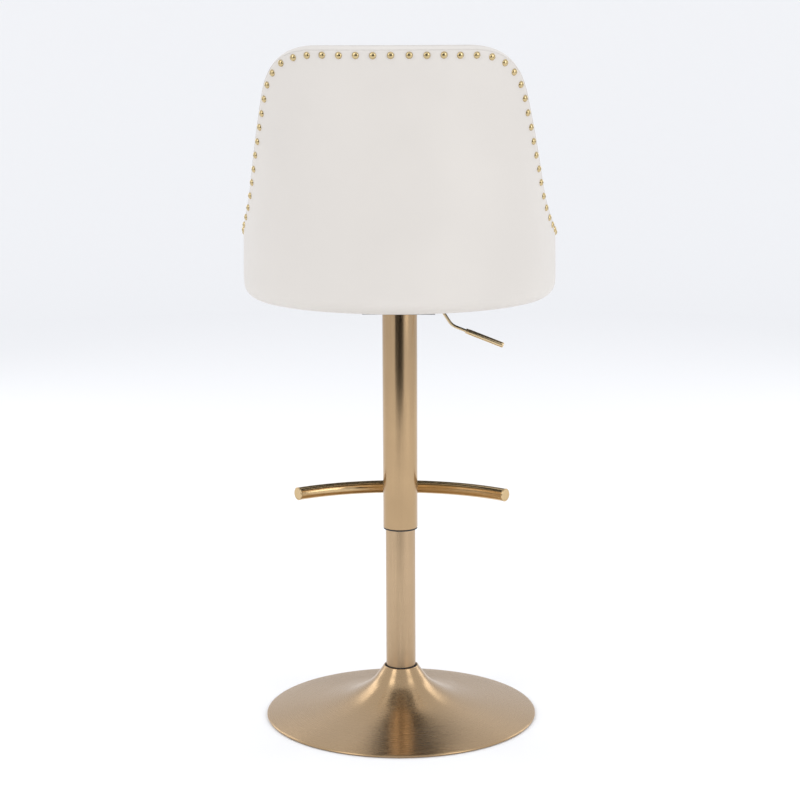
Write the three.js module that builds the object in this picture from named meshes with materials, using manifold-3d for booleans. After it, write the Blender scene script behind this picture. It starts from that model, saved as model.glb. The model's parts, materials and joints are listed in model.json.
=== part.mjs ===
// Adjustable bar stool: a trumpet base, a gas-lift column with a curved footrest, and a round tub seat
// with a wrap-around back. Millimetres, +Z up. The origin is on the floor under the column's axis.
// The stool faces -Y and is raised to the top of its stroke.
import * as THREE from "three";
import { mergeVertices } from "three/addons/utils/BufferGeometryUtils.js";
import Module from "manifold-3d";

const wasm = await Module();
wasm.setup();

// ---- Driving dimensions ----
const GAP = 0.3; // clearance kept between touching pieces
const WALL_GAP = 0.8; // the same between the curved layers of the wall
const STROKE = 210; // height travel of the gas lift

const BASE_RADIUS = 230;
const BASE_THICKNESS = 1.5;
const BASE_TOP = 85;
const WEIGHT_RADIUS = 204;
const WEIGHT_BOTTOM = 4;
const WEIGHT_TOP = 43;
const FLOOR_RING_INNER = 208;
const FLOOR_RING_OUTER = 224;
const FLOOR_RING_HEIGHT = 3;

const LOWER_TUBE_RADIUS = 25;
const LOWER_TUBE_WALL = 2;
const LOWER_TUBE_BOTTOM = 6;
const LOWER_TUBE_TOP = 432; // low enough for the plate's hub when the seat is all the way down
const TUBE_FLOOR = 14;
const TUBE_FLOOR_THICKNESS = 6;
const TUBE_FLOOR_HOLE = 7;
const BUSHING_LENGTH = 70;
const BUSHING_FLANGE = 2.7;
const RACE_THICKNESS = 3;
const BALL_CAGE_HEIGHT = 5;
const COLLAR_BOTTOM = 76;
const COLLAR_THICKNESS = 1.4;
const WASHER_RADIUS = 45;
const WASHER_THICKNESS = 2;
const LOCK_NUT_RADIUS = 36;
const LOCK_NUT_BOTTOM = 7;

const SLEEVE_RADIUS = 29;
const SLEEVE_WALL = 1.5;
const SLEEVE_BOTTOM = 328;
const GLIDE_TOP = 350;
const HUB_BOTTOM = 650;
const HUB_RADIUS = 22;

const CYLINDER_RADIUS = 14;
const CYLINDER_BORE = 12;
const CYLINDER_BOTTOM = 262;
const CYLINDER_TAPER_START = 648;
const CYLINDER_TOP = 703;
const CYLINDER_TOP_RADIUS = 13;
const ROD_RADIUS = 5;
const ROD_BOTTOM = 8.5;
const ROD_SHOULDER_BOTTOM = 32.2;
const ROD_SHOULDER_TOP = 36;
const ROD_CLIP_BOTTOM = 10.5;
const GLAND_TOP = 280;
const DAMPER_TOP = 50;
const PISTON_BOTTOM = 282;
const PISTON_HEIGHT = 10;
const BUTTON_RADIUS = 4;
const BUTTON_BOTTOM = 690;
const BUTTON_TOP = 707;
const BUTTON_TRAVEL = 3.5;

const FOOTREST_HEIGHT = 374;
const FOOTREST_TUBE_RADIUS = 11;
const FOOTREST_TUBE_WALL = 1.5;
const FOOTREST_BEND_RADIUS = 287;
const FOOTREST_REACH = 102; // from the column's axis forward to the middle of the bar
const FOOTREST_HALF_SPAN = 178;
const FOOTREST_CAP = 3;
const STUB_RADIUS = 10;

const PLATE_THICKNESS = 3;
const PLATE_TOP = 720.2;
const PLATE_HALF_WIDTH = 100;
const PLATE_HALF_DEPTH = 85;
const PLATE_CORNER = 14;
const PAN_HALF_WIDTH = 60;
const PAN_HALF_DEPTH = 45;
const PAN_BOTTOM = 696;
const SCREW_X = 80;
const SCREW_Y = 65;
const SCREW_RADIUS = 3;
const SCREW_TOP = 736;
const TEE_NUT_BOTTOM = 728;

const LEVER_RADIUS = 2.5;
const LEVER_HEIGHT = 710;
const LEVER_PIVOT_X = -24;
const LEVER_PIN_RADIUS = 2;
const GRIP_RADIUS = 4.5;
const GRIP_LENGTH = 67;

const TUB_RADIUS = 257;
const TUB_CENTRE_Y = -7;
const TUB_BOTTOM = 722;
const TUB_EDGE = 25; // rounding where the wall turns under the seat
const DECK_HEIGHT = 772; // top of the seat frame, which the cushion's front lip covers
const HEM_WIDTH = 17;
const COVER_THICKNESS = 3;
const SHELL_THICKNESS = 9;
const WALL_THICKNESS = 45; // from the outer cover to the padded inside
const APRON_THICKNESS = 12.2;

const BACK_TOP = 1134;
const ARM_HEIGHT = 835;
const BACK_FLARE = 28; // how much wider the wall's radius is at the top of the back
const BACK_SHIFT = 6; // how far the wall's centre moves forward over the same height
const RIM_RADIUS = 262; // radius that turns a distance along the rim into an angle
const NAIL_BAND = 12; // strip of the inner cover that folds over the rim
const SHELL_BELOW_RIM = 7;

const BOARD_RADIUS = 230;
const BOARD_BOTTOM = 725.3;
const BOARD_THICKNESS = 15;
const CUSHION_REAR_RADIUS = 209;
const CUSHION_FRONT_RADIUS = 254;
const CUSHION_TOP = 828;
const CUSHION_BOTTOM = 743;
const RING_INNER_RADIUS = 213;
const DUST_COVER_RADIUS = 225;
const ARM_END_ANGLE = 126; // degrees round the tub, counted from the middle of the back

const ROUND_SEGMENTS = 24;
const RIM_STEPS = 26;

// ---- Finishes ----
const FINISH = {
  gold: { color: 0xb08d5c, roughness: 0.28, metalness: 1 },
  paleGold: { color: 0xbfa27a, roughness: 0.32, metalness: 1 },
  steel: { color: 0x9a9a98, roughness: 0.35, metalness: 1 },
  cement: { color: 0x6f6c68, roughness: 0.9, metalness: 0 },
  rubber: { color: 0x1c1b1a, roughness: 0.9, metalness: 0 },
  plastic: { color: 0x242322, roughness: 0.55, metalness: 0 },
  leather: { color: 0xe6e0d8, roughness: 0.5, metalness: 0 },
  wood: { color: 0xb99a6e, roughness: 0.75, metalness: 0 },
  cloth: { color: 0x222222, roughness: 0.95, metalness: 0 },
};

const degrees = THREE.MathUtils.degToRad;

// ---- Helpers ----
function addPiece(group, name, geometry, finish) {
  const piece = new THREE.Mesh(geometry, new THREE.MeshStandardMaterial(FINISH[finish]));
  piece.name = name;
  group.add(piece);
  return piece;
}

// Turns a profile of [radius, height] pairs about the Z axis. The profile runs up its outer side.
function turned(profile, segments = ROUND_SEGMENTS) {
  const points = profile.map(([radius, height]) => new THREE.Vector2(radius, height));
  return new THREE.LatheGeometry(points, segments).rotateX(Math.PI / 2);
}

// A ring of rectangular section.
function ring(inner, outer, bottom, top, segments = ROUND_SEGMENTS) {
  return turned([[inner, bottom], [outer, bottom], [outer, top], [inner, top], [inner, bottom]], segments);
}

function disc(radius, bottom, top, segments = ROUND_SEGMENTS) {
  return turned([[0, bottom], [radius, bottom], [radius, top], [0, top]], segments);
}

function box(low, high) {
  const size = high.map((value, axis) => value - low[axis]);
  const centre = high.map((value, axis) => (value + low[axis]) / 2);
  return new THREE.BoxGeometry(...size).translate(...centre);
}

// A cylinder along the Y axis.
function crossPin(radius, halfLength, x, z, segments = 20) {
  return new THREE.CylinderGeometry(radius, radius, 2 * halfLength, segments).translate(x, 0, z);
}

function toSolid(geometry) {
  const bare = geometry.clone();
  bare.deleteAttribute("normal");
  bare.deleteAttribute("uv");
  const merged = mergeVertices(bare, 1e-4);
  const triVerts = new Uint32Array(merged.index.array);
  const vertProperties = merged.attributes.position.array;
  return new wasm.Manifold(new wasm.Mesh({ numProp: 3, vertProperties, triVerts }));
}

function toGeometry(solid) {
  const mesh = solid.getMesh();
  const geometry = new THREE.BufferGeometry();
  geometry.setAttribute("position", new THREE.BufferAttribute(mesh.vertProperties, 3));
  geometry.setIndex(new THREE.BufferAttribute(mesh.triVerts, 1));
  return geometry;
}

function join(first, ...others) {
  return toGeometry(others.reduce((solid, other) => solid.add(toSolid(other)), toSolid(first)));
}

function cut(first, ...others) {
  return toGeometry(others.reduce((solid, other) => solid.subtract(toSolid(other)), toSolid(first)));
}

// A bar of round section along a path, hollow if it has a wall.
function bar(path, radius, steps, sides, wall = 0) {
  const section = new THREE.Shape().absarc(0, 0, radius, 0, 2 * Math.PI);
  if (wall) {
    section.holes.push(new THREE.Path().absarc(0, 0, radius - wall, 0, 2 * Math.PI, true));
  }
  return new THREE.ExtrudeGeometry(section, { steps, curveSegments: sides, extrudePath: path });
}

// Joins a row of closed sections, each a list of points in the same order, and caps both ends.
// flatEnds gives the first and last section as flat outlines, which the caps are cut from.
function lofted(sections, flatEnds) {
  const count = sections[0].length;
  const positions = sections.flat().flatMap((point) => point.toArray());
  const index = [];
  for (let i = 0; i < sections.length - 1; i++) {
    for (let j = 0; j < count; j++) {
      const next = (j + 1) % count;
      const a = i * count + j;
      const b = i * count + next;
      index.push(a, a + count, b, b, a + count, b + count);
    }
  }
  const last = (sections.length - 1) * count;
  for (const [a, b, c] of THREE.ShapeUtils.triangulateShape(flatEnds[0], [])) {
    index.push(a, c, b);
  }
  for (const [a, b, c] of THREE.ShapeUtils.triangulateShape(flatEnds[1], [])) {
    index.push(last + a, last + b, last + c);
  }
  const geometry = new THREE.BufferGeometry();
  geometry.setAttribute("position", new THREE.Float32BufferAttribute(positions, 3));
  geometry.setIndex(index);
  return geometry;
}

// ---- The tub wall ----
// The wall is round in plan. Above the arms its radius grows and its centre moves, so the back leans.
function wallPoint(angle, height, inset) {
  const rise = Math.max(0, height - ARM_HEIGHT) / (BACK_TOP - ARM_HEIGHT);
  const radius = TUB_RADIUS + BACK_FLARE * rise ** 2 - inset;
  const centre = TUB_CENTRE_Y - BACK_SHIFT * rise ** 2;
  return new THREE.Vector3(radius * Math.sin(angle), centre + radius * Math.cos(angle), height);
}

// The rim from the middle of the back to the front end of one arm, drawn flat: x is the distance
// along the rim and y is the height. Each corner is rounded by a curve that starts `ease` before it.
function rimOutline() {
  const armEnd = degrees(ARM_END_ANGLE) * RIM_RADIUS;
  const corners = [
    { x: 197, y: BACK_TOP, ease: 80 },
    { x: 335, y: 852, ease: 76 },
    { x: armEnd, y: 819, ease: 19 },
  ];
  const end = new THREE.Vector2(armEnd, 800);
  const path = new THREE.Path();
  path.moveTo(0, BACK_TOP);
  corners.forEach((corner, i) => {
    const here = new THREE.Vector2(corner.x, corner.y);
    const before = path.currentPoint;
    const after = i + 1 < corners.length ? new THREE.Vector2(corners[i + 1].x, corners[i + 1].y) : end;
    const entry = before.clone().sub(here).setLength(corner.ease).add(here);
    const exit = after.clone().sub(here).setLength(corner.ease).add(here);
    path.lineTo(entry.x, entry.y);
    path.quadraticCurveTo(here.x, here.y, exit.x, exit.y);
  });
  return path;
}

// Angle and rim height of each upright section of the wall, from one arm's end to the other's.
function wallColumns() {
  const half = rimOutline().getSpacedPoints(RIM_STEPS).map((point) => [point.x / RIM_RADIUS, point.y]);
  const mirrored = half.slice(1).reverse().map(([angle, rim]) => [-angle, rim]);
  return [...mirrored, ...half];
}

// A wall piece from a function that gives its section, as [inset, height] pairs, for a rim height.
// The section runs down its outer side and up its inner side.
function wallPiece(columns, sectionAt) {
  const flat = (rim) => sectionAt(rim).map(([inset, height]) => new THREE.Vector2(-inset, height));
  const sections = columns.map(([angle, rim]) => {
    return sectionAt(rim).map(([inset, height]) => wallPoint(angle, height, inset));
  });
  return lofted(sections, [flat(columns[0][1]), flat(columns.at(-1)[1])]);
}

function between(low, high, steps) {
  return Array.from({ length: steps + 1 }, (_, i) => low + ((high - low) * i) / steps);
}

// An arc of [inset, height] pairs about a centre, from one angle to another in degrees.
function arc(centre, radius, from, to, steps) {
  return between(degrees(from), degrees(to), steps).map((angle) => {
    return [centre[0] + radius * Math.cos(angle), centre[1] + radius * Math.sin(angle)];
  });
}

// Section of a skin that comes down the wall and turns under the seat.
function skinSection(top, thickness, steps) {
  const centre = [TUB_EDGE, TUB_BOTTOM + TUB_EDGE];
  const innerRadius = TUB_EDGE - COVER_THICKNESS;
  const turn = Math.acos(Math.min(1, (TUB_EDGE - thickness) / innerRadius));
  return [
    ...between(top, centre[1], steps).slice(0, -1).map((height) => [0, height]),
    ...arc(centre, TUB_EDGE, 180, 270, 3),
    [TUB_EDGE + HEM_WIDTH, TUB_BOTTOM],
    [TUB_EDGE + HEM_WIDTH, TUB_BOTTOM + COVER_THICKNESS],
    ...arc(centre, innerRadius, 270, 180 + THREE.MathUtils.radToDeg(turn), 3),
    ...between(centre[1], top, steps).slice(1).map((height) => [thickness, height]),
  ];
}

function shellSection(rim) {
  const outer = COVER_THICKNESS + WALL_GAP;
  const heights = between(TUB_BOTTOM + TUB_EDGE, rim - SHELL_BELOW_RIM, 3);
  return [
    ...heights.slice().reverse().map((height) => [outer, height]),
    ...heights.map((height) => [outer + SHELL_THICKNESS, height]),
  ];
}

// The padding fills the inside of the wall and folds over the shell's top edge.
function padSection(rim) {
  const crown = 20;
  const lip = COVER_THICKNESS;
  const shellInside = lip + SHELL_THICKNESS + 2 * WALL_GAP;
  const shellTop = rim - SHELL_BELOW_RIM + WALL_GAP;
  const foot = DECK_HEIGHT + 2 * GAP;
  const inside = between(foot, rim - crown, 3).map((height) => [WALL_THICKNESS, height]);
  return [
    [0, rim - NAIL_BAND + GAP],
    [lip, rim - NAIL_BAND + GAP],
    [lip, shellTop],
    ...between(shellTop, foot, 3).map((height) => [shellInside, height]),
    ...inside,
    ...arc([WALL_THICKNESS - crown, rim - crown], crown, 0, 90, 3).slice(1),
    [10, rim - 0.8],
    [2, rim - 3],
    [0, rim - 6],
  ];
}

// ---- Base ----
function baseShell() {
  const outline = [
    [BASE_RADIUS - 1, 4], [205, 9], [170, 15], [130, 22], [95, 31], [70, 43],
    [50, 57], [38.5, 71.5], [33, 79], [28.5, BASE_TOP],
  ].map(([radius, height]) => new THREE.Vector2(radius, height));
  const normal = (i) => {
    const before = outline[Math.max(i - 1, 0)];
    const after = outline[Math.min(i + 1, outline.length - 1)];
    const along = after.clone().sub(before).normalize();
    return new THREE.Vector2(along.y, -along.x);
  };
  const inner = outline.map((point, i) => point.clone().addScaledVector(normal(i), -BASE_THICKNESS));
  const rim = [[BASE_RADIUS - 3.2, 1], [BASE_RADIUS - 0.6, 1], [BASE_RADIUS, 2.4]];
  const pairs = (line) => line.map((point) => [point.x, point.y]);
  const profile = [...rim, ...pairs(outline), ...pairs(inner.reverse()), rim[0]];
  return turned(profile, 44);
}

function baseWeight() {
  const bore = LOWER_TUBE_RADIUS + 0.4;
  const recess = 50;
  const recessTop = 16.6;
  return turned([
    [recess, WEIGHT_BOTTOM], [WEIGHT_RADIUS, WEIGHT_BOTTOM], [WEIGHT_RADIUS, 6.8], [170, 12.6], [130, 19.4],
    [95, 28], [72, 38], [60, WEIGHT_TOP], [bore, WEIGHT_TOP], [bore, recessTop], [recess, recessTop],
    [recess, WEIGHT_BOTTOM],
  ], 32);
}

function lockNut() {
  const hexagon = disc(LOCK_NUT_RADIUS, LOCK_NUT_BOTTOM, TUBE_FLOOR, 6);
  return cut(hexagon, disc(LOWER_TUBE_RADIUS + GAP, 0, 20));
}

function lowerTube() {
  const outer = LOWER_TUBE_RADIUS;
  const inner = outer - LOWER_TUBE_WALL;
  const floorTop = TUBE_FLOOR + TUBE_FLOOR_THICKNESS;
  return turned([
    [outer, LOWER_TUBE_BOTTOM], [outer, LOWER_TUBE_TOP], [inner, LOWER_TUBE_TOP], [inner, floorTop],
    [TUBE_FLOOR_HOLE, floorTop], [TUBE_FLOOR_HOLE, TUBE_FLOOR], [inner, TUBE_FLOOR],
    [inner, LOWER_TUBE_BOTTOM], [outer, LOWER_TUBE_BOTTOM],
  ]);
}

function guideBushing() {
  const bore = CYLINDER_RADIUS + GAP;
  const body = LOWER_TUBE_RADIUS - LOWER_TUBE_WALL - GAP;
  const flange = LOWER_TUBE_RADIUS - 0.2;
  const bottom = LOWER_TUBE_TOP - BUSHING_LENGTH;
  const seat = LOWER_TUBE_TOP + GAP;
  const top = seat + BUSHING_FLANGE;
  return turned([
    [bore, bottom], [body, bottom], [body, seat], [flange, seat], [flange, top], [bore, top], [bore, bottom],
  ]);
}

function buildBase() {
  const group = new THREE.Group();
  const raceBottom = TUBE_FLOOR + TUBE_FLOOR_THICKNESS + GAP;
  const cageBottom = raceBottom + RACE_THICKNESS + GAP;
  const collarBore = LOWER_TUBE_RADIUS + GAP;
  const washerBottom = TUBE_FLOOR + GAP;
  addPiece(group, "base_shell", baseShell(), "gold");
  addPiece(group, "base_weight", baseWeight(), "cement");
  const floorRing = ring(FLOOR_RING_INNER, FLOOR_RING_OUTER, 0, FLOOR_RING_HEIGHT, 40);
  const collar = ring(collarBore, collarBore + COLLAR_THICKNESS, COLLAR_BOTTOM, BASE_TOP + 1);
  const washer = ring(collarBore, WASHER_RADIUS, washerBottom, washerBottom + WASHER_THICKNESS);
  const lowerRace = ring(TUBE_FLOOR_HOLE, 21, raceBottom, raceBottom + RACE_THICKNESS);
  addPiece(group, "base_floor_ring", floorRing, "rubber");
  addPiece(group, "column_collar", collar, "rubber");
  addPiece(group, "column_washer", washer, "steel");
  addPiece(group, "column_lock_nut", lockNut(), "steel");
  addPiece(group, "lower_column", lowerTube(), "paleGold");
  addPiece(group, "guide_bushing", guideBushing(), "plastic");
  addPiece(group, "bearing_lower_race", lowerRace, "steel");
  addPiece(group, "bearing_ball_cage", ring(8, 20, cageBottom, cageBottom + BALL_CAGE_HEIGHT), "steel");
  return group;
}

// ---- Piston rod: turns with the seat, but stays at one height ----
function pistonRod() {
  const shoulder = 8;
  const pistonTop = PISTON_BOTTOM + PISTON_HEIGHT;
  return turned([
    [0, ROD_BOTTOM], [ROD_RADIUS, ROD_BOTTOM], [ROD_RADIUS, ROD_SHOULDER_BOTTOM],
    [shoulder, ROD_SHOULDER_BOTTOM], [shoulder, ROD_SHOULDER_TOP], [ROD_RADIUS, ROD_SHOULDER_TOP],
    [ROD_RADIUS, PISTON_BOTTOM], [CYLINDER_BORE - 0.4, PISTON_BOTTOM], [CYLINDER_BORE - 0.4, pistonTop],
    [0, pistonTop],
  ], 20);
}

function buildRod() {
  const group = new THREE.Group();
  const bore = ROD_RADIUS + GAP;
  const raceTop = ROD_SHOULDER_BOTTOM - GAP;
  const damperBottom = ROD_SHOULDER_TOP + GAP;
  addPiece(group, "piston_rod", pistonRod(), "steel");
  addPiece(group, "bearing_upper_race", ring(bore, 20, raceTop - RACE_THICKNESS, raceTop), "steel");
  addPiece(group, "bottom_damper", ring(bore, 17, damperBottom, DAMPER_TOP), "rubber");
  addPiece(group, "rod_retaining_clip", ring(bore, 10, ROD_CLIP_BOTTOM, ROD_CLIP_BOTTOM + 2, 20), "steel");
  return group;
}

// ---- Column pieces that rise and turn with the seat ----
function gasCylinder() {
  const boreTop = PISTON_BOTTOM + PISTON_HEIGHT + STROKE + 3;
  const pocket = BUTTON_RADIUS + GAP;
  const pocketBottom = BUTTON_BOTTOM - BUTTON_TRAVEL - 2.5;
  return turned([
    [0, boreTop], [CYLINDER_BORE, boreTop], [CYLINDER_BORE, CYLINDER_BOTTOM],
    [CYLINDER_RADIUS, CYLINDER_BOTTOM],
    [CYLINDER_RADIUS, CYLINDER_TAPER_START], [CYLINDER_TOP_RADIUS, CYLINDER_TOP], [pocket, CYLINDER_TOP],
    [pocket, pocketBottom], [0, pocketBottom],
  ], 24);
}

function sleeveGlide() {
  const bore = LOWER_TUBE_RADIUS + GAP;
  const body = SLEEVE_RADIUS - SLEEVE_WALL - GAP;
  const lip = SLEEVE_RADIUS - 0.4;
  const lipBottom = SLEEVE_BOTTOM - 2.5;
  const lipTop = SLEEVE_BOTTOM - GAP;
  return turned([
    [bore, lipBottom], [lip, lipBottom], [lip, lipTop], [body, lipTop], [body, GLIDE_TOP], [bore, GLIDE_TOP],
    [bore, lipBottom],
  ]);
}

function plateHub() {
  const top = PAN_BOTTOM - GAP;
  return turned([
    [14.3, HUB_BOTTOM], [HUB_RADIUS, HUB_BOTTOM], [HUB_RADIUS, top], [13.5, top], [14.3, HUB_BOTTOM],
  ], 24);
}

function footrestPath(bendInset) {
  const centreY = FOOTREST_BEND_RADIUS - FOOTREST_REACH;
  const halfAngle = Math.asin(FOOTREST_HALF_SPAN / FOOTREST_BEND_RADIUS) - bendInset;
  class FootrestArc extends THREE.Curve {
    getPoint(t) {
      const angle = halfAngle * (2 * t - 1);
      const x = FOOTREST_BEND_RADIUS * Math.sin(angle);
      return new THREE.Vector3(x, centreY - FOOTREST_BEND_RADIUS * Math.cos(angle), FOOTREST_HEIGHT);
    }
  }
  return new FootrestArc();
}

// The stub's ends are cut to fit round the sleeve and the bar.
function footrestStub() {
  const length = FOOTREST_REACH - 10;
  const stub = new THREE.CylinderGeometry(STUB_RADIUS, STUB_RADIUS, length, 20)
    .translate(0, -10 - length / 2, FOOTREST_HEIGHT);
  const sleeve = disc(SLEEVE_RADIUS + GAP, FOOTREST_HEIGHT - 30, FOOTREST_HEIGHT + 30, 64);
  const fatBar = bar(footrestPath(0.2), FOOTREST_TUBE_RADIUS + GAP, 10, 24);
  return cut(stub, sleeve, fatBar);
}

function footrestCap() {
  const plug = FOOTREST_TUBE_RADIUS - FOOTREST_TUBE_WALL - 2 * GAP;
  const face = FOOTREST_TUBE_RADIUS;
  const seat = 2 * GAP;
  return turned([
    [0, -9], [plug, -9], [plug, seat], [face, seat], [face, 2.2], [face - 1, FOOTREST_CAP], [0, FOOTREST_CAP],
  ], 24);
}

function buildFootrest(group) {
  const capAngle = FOOTREST_CAP / FOOTREST_BEND_RADIUS;
  const path = footrestPath(capAngle);
  addPiece(group, "footrest_bar", bar(path, FOOTREST_TUBE_RADIUS, 18, 7, FOOTREST_TUBE_WALL), "gold");
  addPiece(group, "footrest_stub", footrestStub(), "gold");
  for (const [name, end] of [["footrest_cap_right", 0], ["footrest_cap_left", 1]]) {
    const cap = addPiece(group, name, footrestCap(), "gold");
    const outward = path.getTangent(end).multiplyScalar(2 * end - 1);
    cap.position.copy(path.getPoint(end));
    cap.quaternion.setFromUnitVectors(new THREE.Vector3(0, 0, 1), outward);
  }
}

function roundedRectangle(halfWidth, halfDepth, corner) {
  const shape = new THREE.Shape();
  shape.absarc(halfWidth - corner, halfDepth - corner, corner, 0, Math.PI / 2);
  shape.absarc(corner - halfWidth, halfDepth - corner, corner, Math.PI / 2, Math.PI);
  shape.absarc(corner - halfWidth, corner - halfDepth, corner, Math.PI, 1.5 * Math.PI);
  shape.absarc(halfWidth - corner, corner - halfDepth, corner, 1.5 * Math.PI, 2 * Math.PI);
  return shape;
}

// A pressed plate: a flange against the seat board and a pan that holds the release lever.
function seatPlate() {
  const flange = new THREE.ExtrudeGeometry(
    roundedRectangle(PLATE_HALF_WIDTH, PLATE_HALF_DEPTH, PLATE_CORNER),
    { depth: PLATE_THICKNESS, bevelEnabled: false, curveSegments: 5 },
  ).translate(0, 0, PLATE_TOP - PLATE_THICKNESS);
  const pan = box(
    [-PAN_HALF_WIDTH, -PAN_HALF_DEPTH, PAN_BOTTOM],
    [PAN_HALF_WIDTH, PAN_HALF_DEPTH, PLATE_TOP - 1],
  );
  const hollow = box(
    [PLATE_THICKNESS - PAN_HALF_WIDTH, PLATE_THICKNESS - PAN_HALF_DEPTH, PAN_BOTTOM + PLATE_THICKNESS],
    [PAN_HALF_WIDTH - PLATE_THICKNESS, PAN_HALF_DEPTH - PLATE_THICKNESS, PLATE_TOP + 5],
  );
  const slotTop = PLATE_TOP - PLATE_THICKNESS;
  const leverSlot = box([-PAN_HALF_WIDTH - 5, -4, 700], [10 - PAN_HALF_WIDTH, 4, slotTop]);
  const cylinderHole = disc(CYLINDER_TOP_RADIUS + 0.7, PAN_BOTTOM - 5, PAN_BOTTOM + 10, 24);
  const screwHoles = screwPlaces().map(([x, y]) => disc(SCREW_RADIUS + 0.4, 700, 730, 12).translate(x, y, 0));
  return cut(join(flange, pan), hollow, leverSlot, cylinderHole, ...screwHoles);
}

function screwPlaces() {
  return [[SCREW_X, SCREW_Y], [-SCREW_X, SCREW_Y], [-SCREW_X, -SCREW_Y], [SCREW_X, -SCREW_Y]];
}

function seatScrew() {
  const headTop = PLATE_TOP - PLATE_THICKNESS - GAP;
  return turned([
    [0, headTop - 3.4], [3.6, headTop - 3.4], [5.6, headTop - 1.6], [6, headTop], [SCREW_RADIUS, headTop],
    [SCREW_RADIUS, SCREW_TOP], [0, SCREW_TOP],
  ], 12);
}

function teeNut() {
  const boardTop = BOARD_BOTTOM + BOARD_THICKNESS;
  return turned([
    [3.3, TEE_NUT_BOTTOM], [4.1, TEE_NUT_BOTTOM], [4.1, boardTop + GAP], [9, boardTop + GAP],
    [9, boardTop + 1.7], [3.3, boardTop + 1.7], [3.3, TEE_NUT_BOTTOM],
  ], 12);
}

// Two ears on a foot, with a hole through both for the lever's pin.
function leverBracket() {
  const foot = PAN_BOTTOM + PLATE_THICKNESS + GAP;
  const low = LEVER_PIVOT_X - 9;
  const high = LEVER_PIVOT_X + 9;
  const block = box([low, -7.5, foot], [high, 7.5, 716]);
  const slot = box([low - 1, -5.5, foot + 2], [high + 1, 5.5, 720]);
  return cut(block, slot, crossPin(LEVER_PIN_RADIUS + GAP, 20, LEVER_PIVOT_X, LEVER_HEIGHT));
}

function leverPin() {
  return crossPin(LEVER_PIN_RADIUS, 9.5, LEVER_PIVOT_X, LEVER_HEIGHT, 16);
}

// Where the lever bends, and the direction of its outer arm.
const LEVER_BEND = new THREE.Vector3(-87, 0, 672);
const GRIP_START = new THREE.Vector3(-110, 0, 663);

function leverPath() {
  const inner = new THREE.Vector3(5, 0, LEVER_HEIGHT);
  const knee = new THREE.Vector3(-62, 0, LEVER_HEIGHT);
  const outward = GRIP_START.clone().sub(LEVER_BEND).normalize();
  const tip = GRIP_START.clone().addScaledVector(outward, GRIP_LENGTH - 5);
  const towards = (from, to, distance) => to.clone().sub(from).setLength(distance).add(from);
  const stops = [inner, towards(knee, inner, 9), towards(knee, LEVER_BEND, 9), towards(LEVER_BEND, knee, 8),
    towards(LEVER_BEND, tip, 8), tip];
  const path = new THREE.CurvePath();
  path.add(new THREE.LineCurve3(stops[0], stops[1]));
  path.add(new THREE.QuadraticBezierCurve3(stops[1], knee, stops[2]));
  path.add(new THREE.LineCurve3(stops[2], stops[3]));
  path.add(new THREE.QuadraticBezierCurve3(stops[3], LEVER_BEND, stops[4]));
  path.add(new THREE.LineCurve3(stops[4], stops[5]));
  return path;
}

function leverRod() {
  const rod = bar(leverPath(), LEVER_RADIUS, 26, 4);
  const boss = crossPin(5.5, 4.5, LEVER_PIVOT_X, LEVER_HEIGHT);
  return cut(join(rod, boss), crossPin(LEVER_PIN_RADIUS + GAP, 10, LEVER_PIVOT_X, LEVER_HEIGHT));
}

function leverGrip() {
  const bore = LEVER_RADIUS + GAP;
  return turned([
    [0, GRIP_LENGTH - 3.5], [bore, GRIP_LENGTH - 3.5], [bore, 0], [GRIP_RADIUS - 0.5, 0], [GRIP_RADIUS, 0.8],
    [GRIP_RADIUS, GRIP_LENGTH - 1], [GRIP_RADIUS - 1, GRIP_LENGTH], [0, GRIP_LENGTH],
  ], 20);
}

function buildLever() {
  const group = new THREE.Group();
  addPiece(group, "lever_rod", leverRod(), "gold");
  const grip = addPiece(group, "lever_grip", leverGrip(), "gold");
  const outward = GRIP_START.clone().sub(LEVER_BEND).normalize();
  grip.position.copy(GRIP_START);
  grip.quaternion.setFromUnitVectors(new THREE.Vector3(0, 0, 1), outward);
  return group;
}

// ---- Seat ----
function dustCover() {
  const holes = screwPlaces().map(([x, y]) => disc(3.8, 715, 730, 12).translate(x, y, 0));
  const sheet = disc(DUST_COVER_RADIUS, PLATE_TOP + 0.2, TUB_BOTTOM - GAP, 40).translate(0, TUB_CENTRE_Y, 0);
  return cut(sheet, ...holes);
}

function seatBoard() {
  const holes = screwPlaces().map(([x, y]) => disc(4.4, 715, 760, 12).translate(x, y, 0));
  const boardTop = BOARD_BOTTOM + BOARD_THICKNESS;
  const board = disc(BOARD_RADIUS, BOARD_BOTTOM, boardTop, 40).translate(0, TUB_CENTRE_Y, 0);
  return cut(board, ...holes);
}

function seatRing() {
  const outer = TUB_RADIUS - APRON_THICKNESS - 1;
  const bottom = BOARD_BOTTOM + BOARD_THICKNESS + GAP;
  return ring(RING_INNER_RADIUS, outer, bottom, DECK_HEIGHT, 48).translate(0, TUB_CENTRE_Y, 0);
}

// The apron closes the front of the tub, between the two ends of the wall.
function frontApron() {
  const start = ARM_END_ANGLE + 0.3;
  const columns = between(degrees(start), degrees(360 - start), 14).map((angle) => [angle, DECK_HEIGHT]);
  return wallPiece(columns, (rim) => skinSection(rim, APRON_THICKNESS, 1));
}

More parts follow.
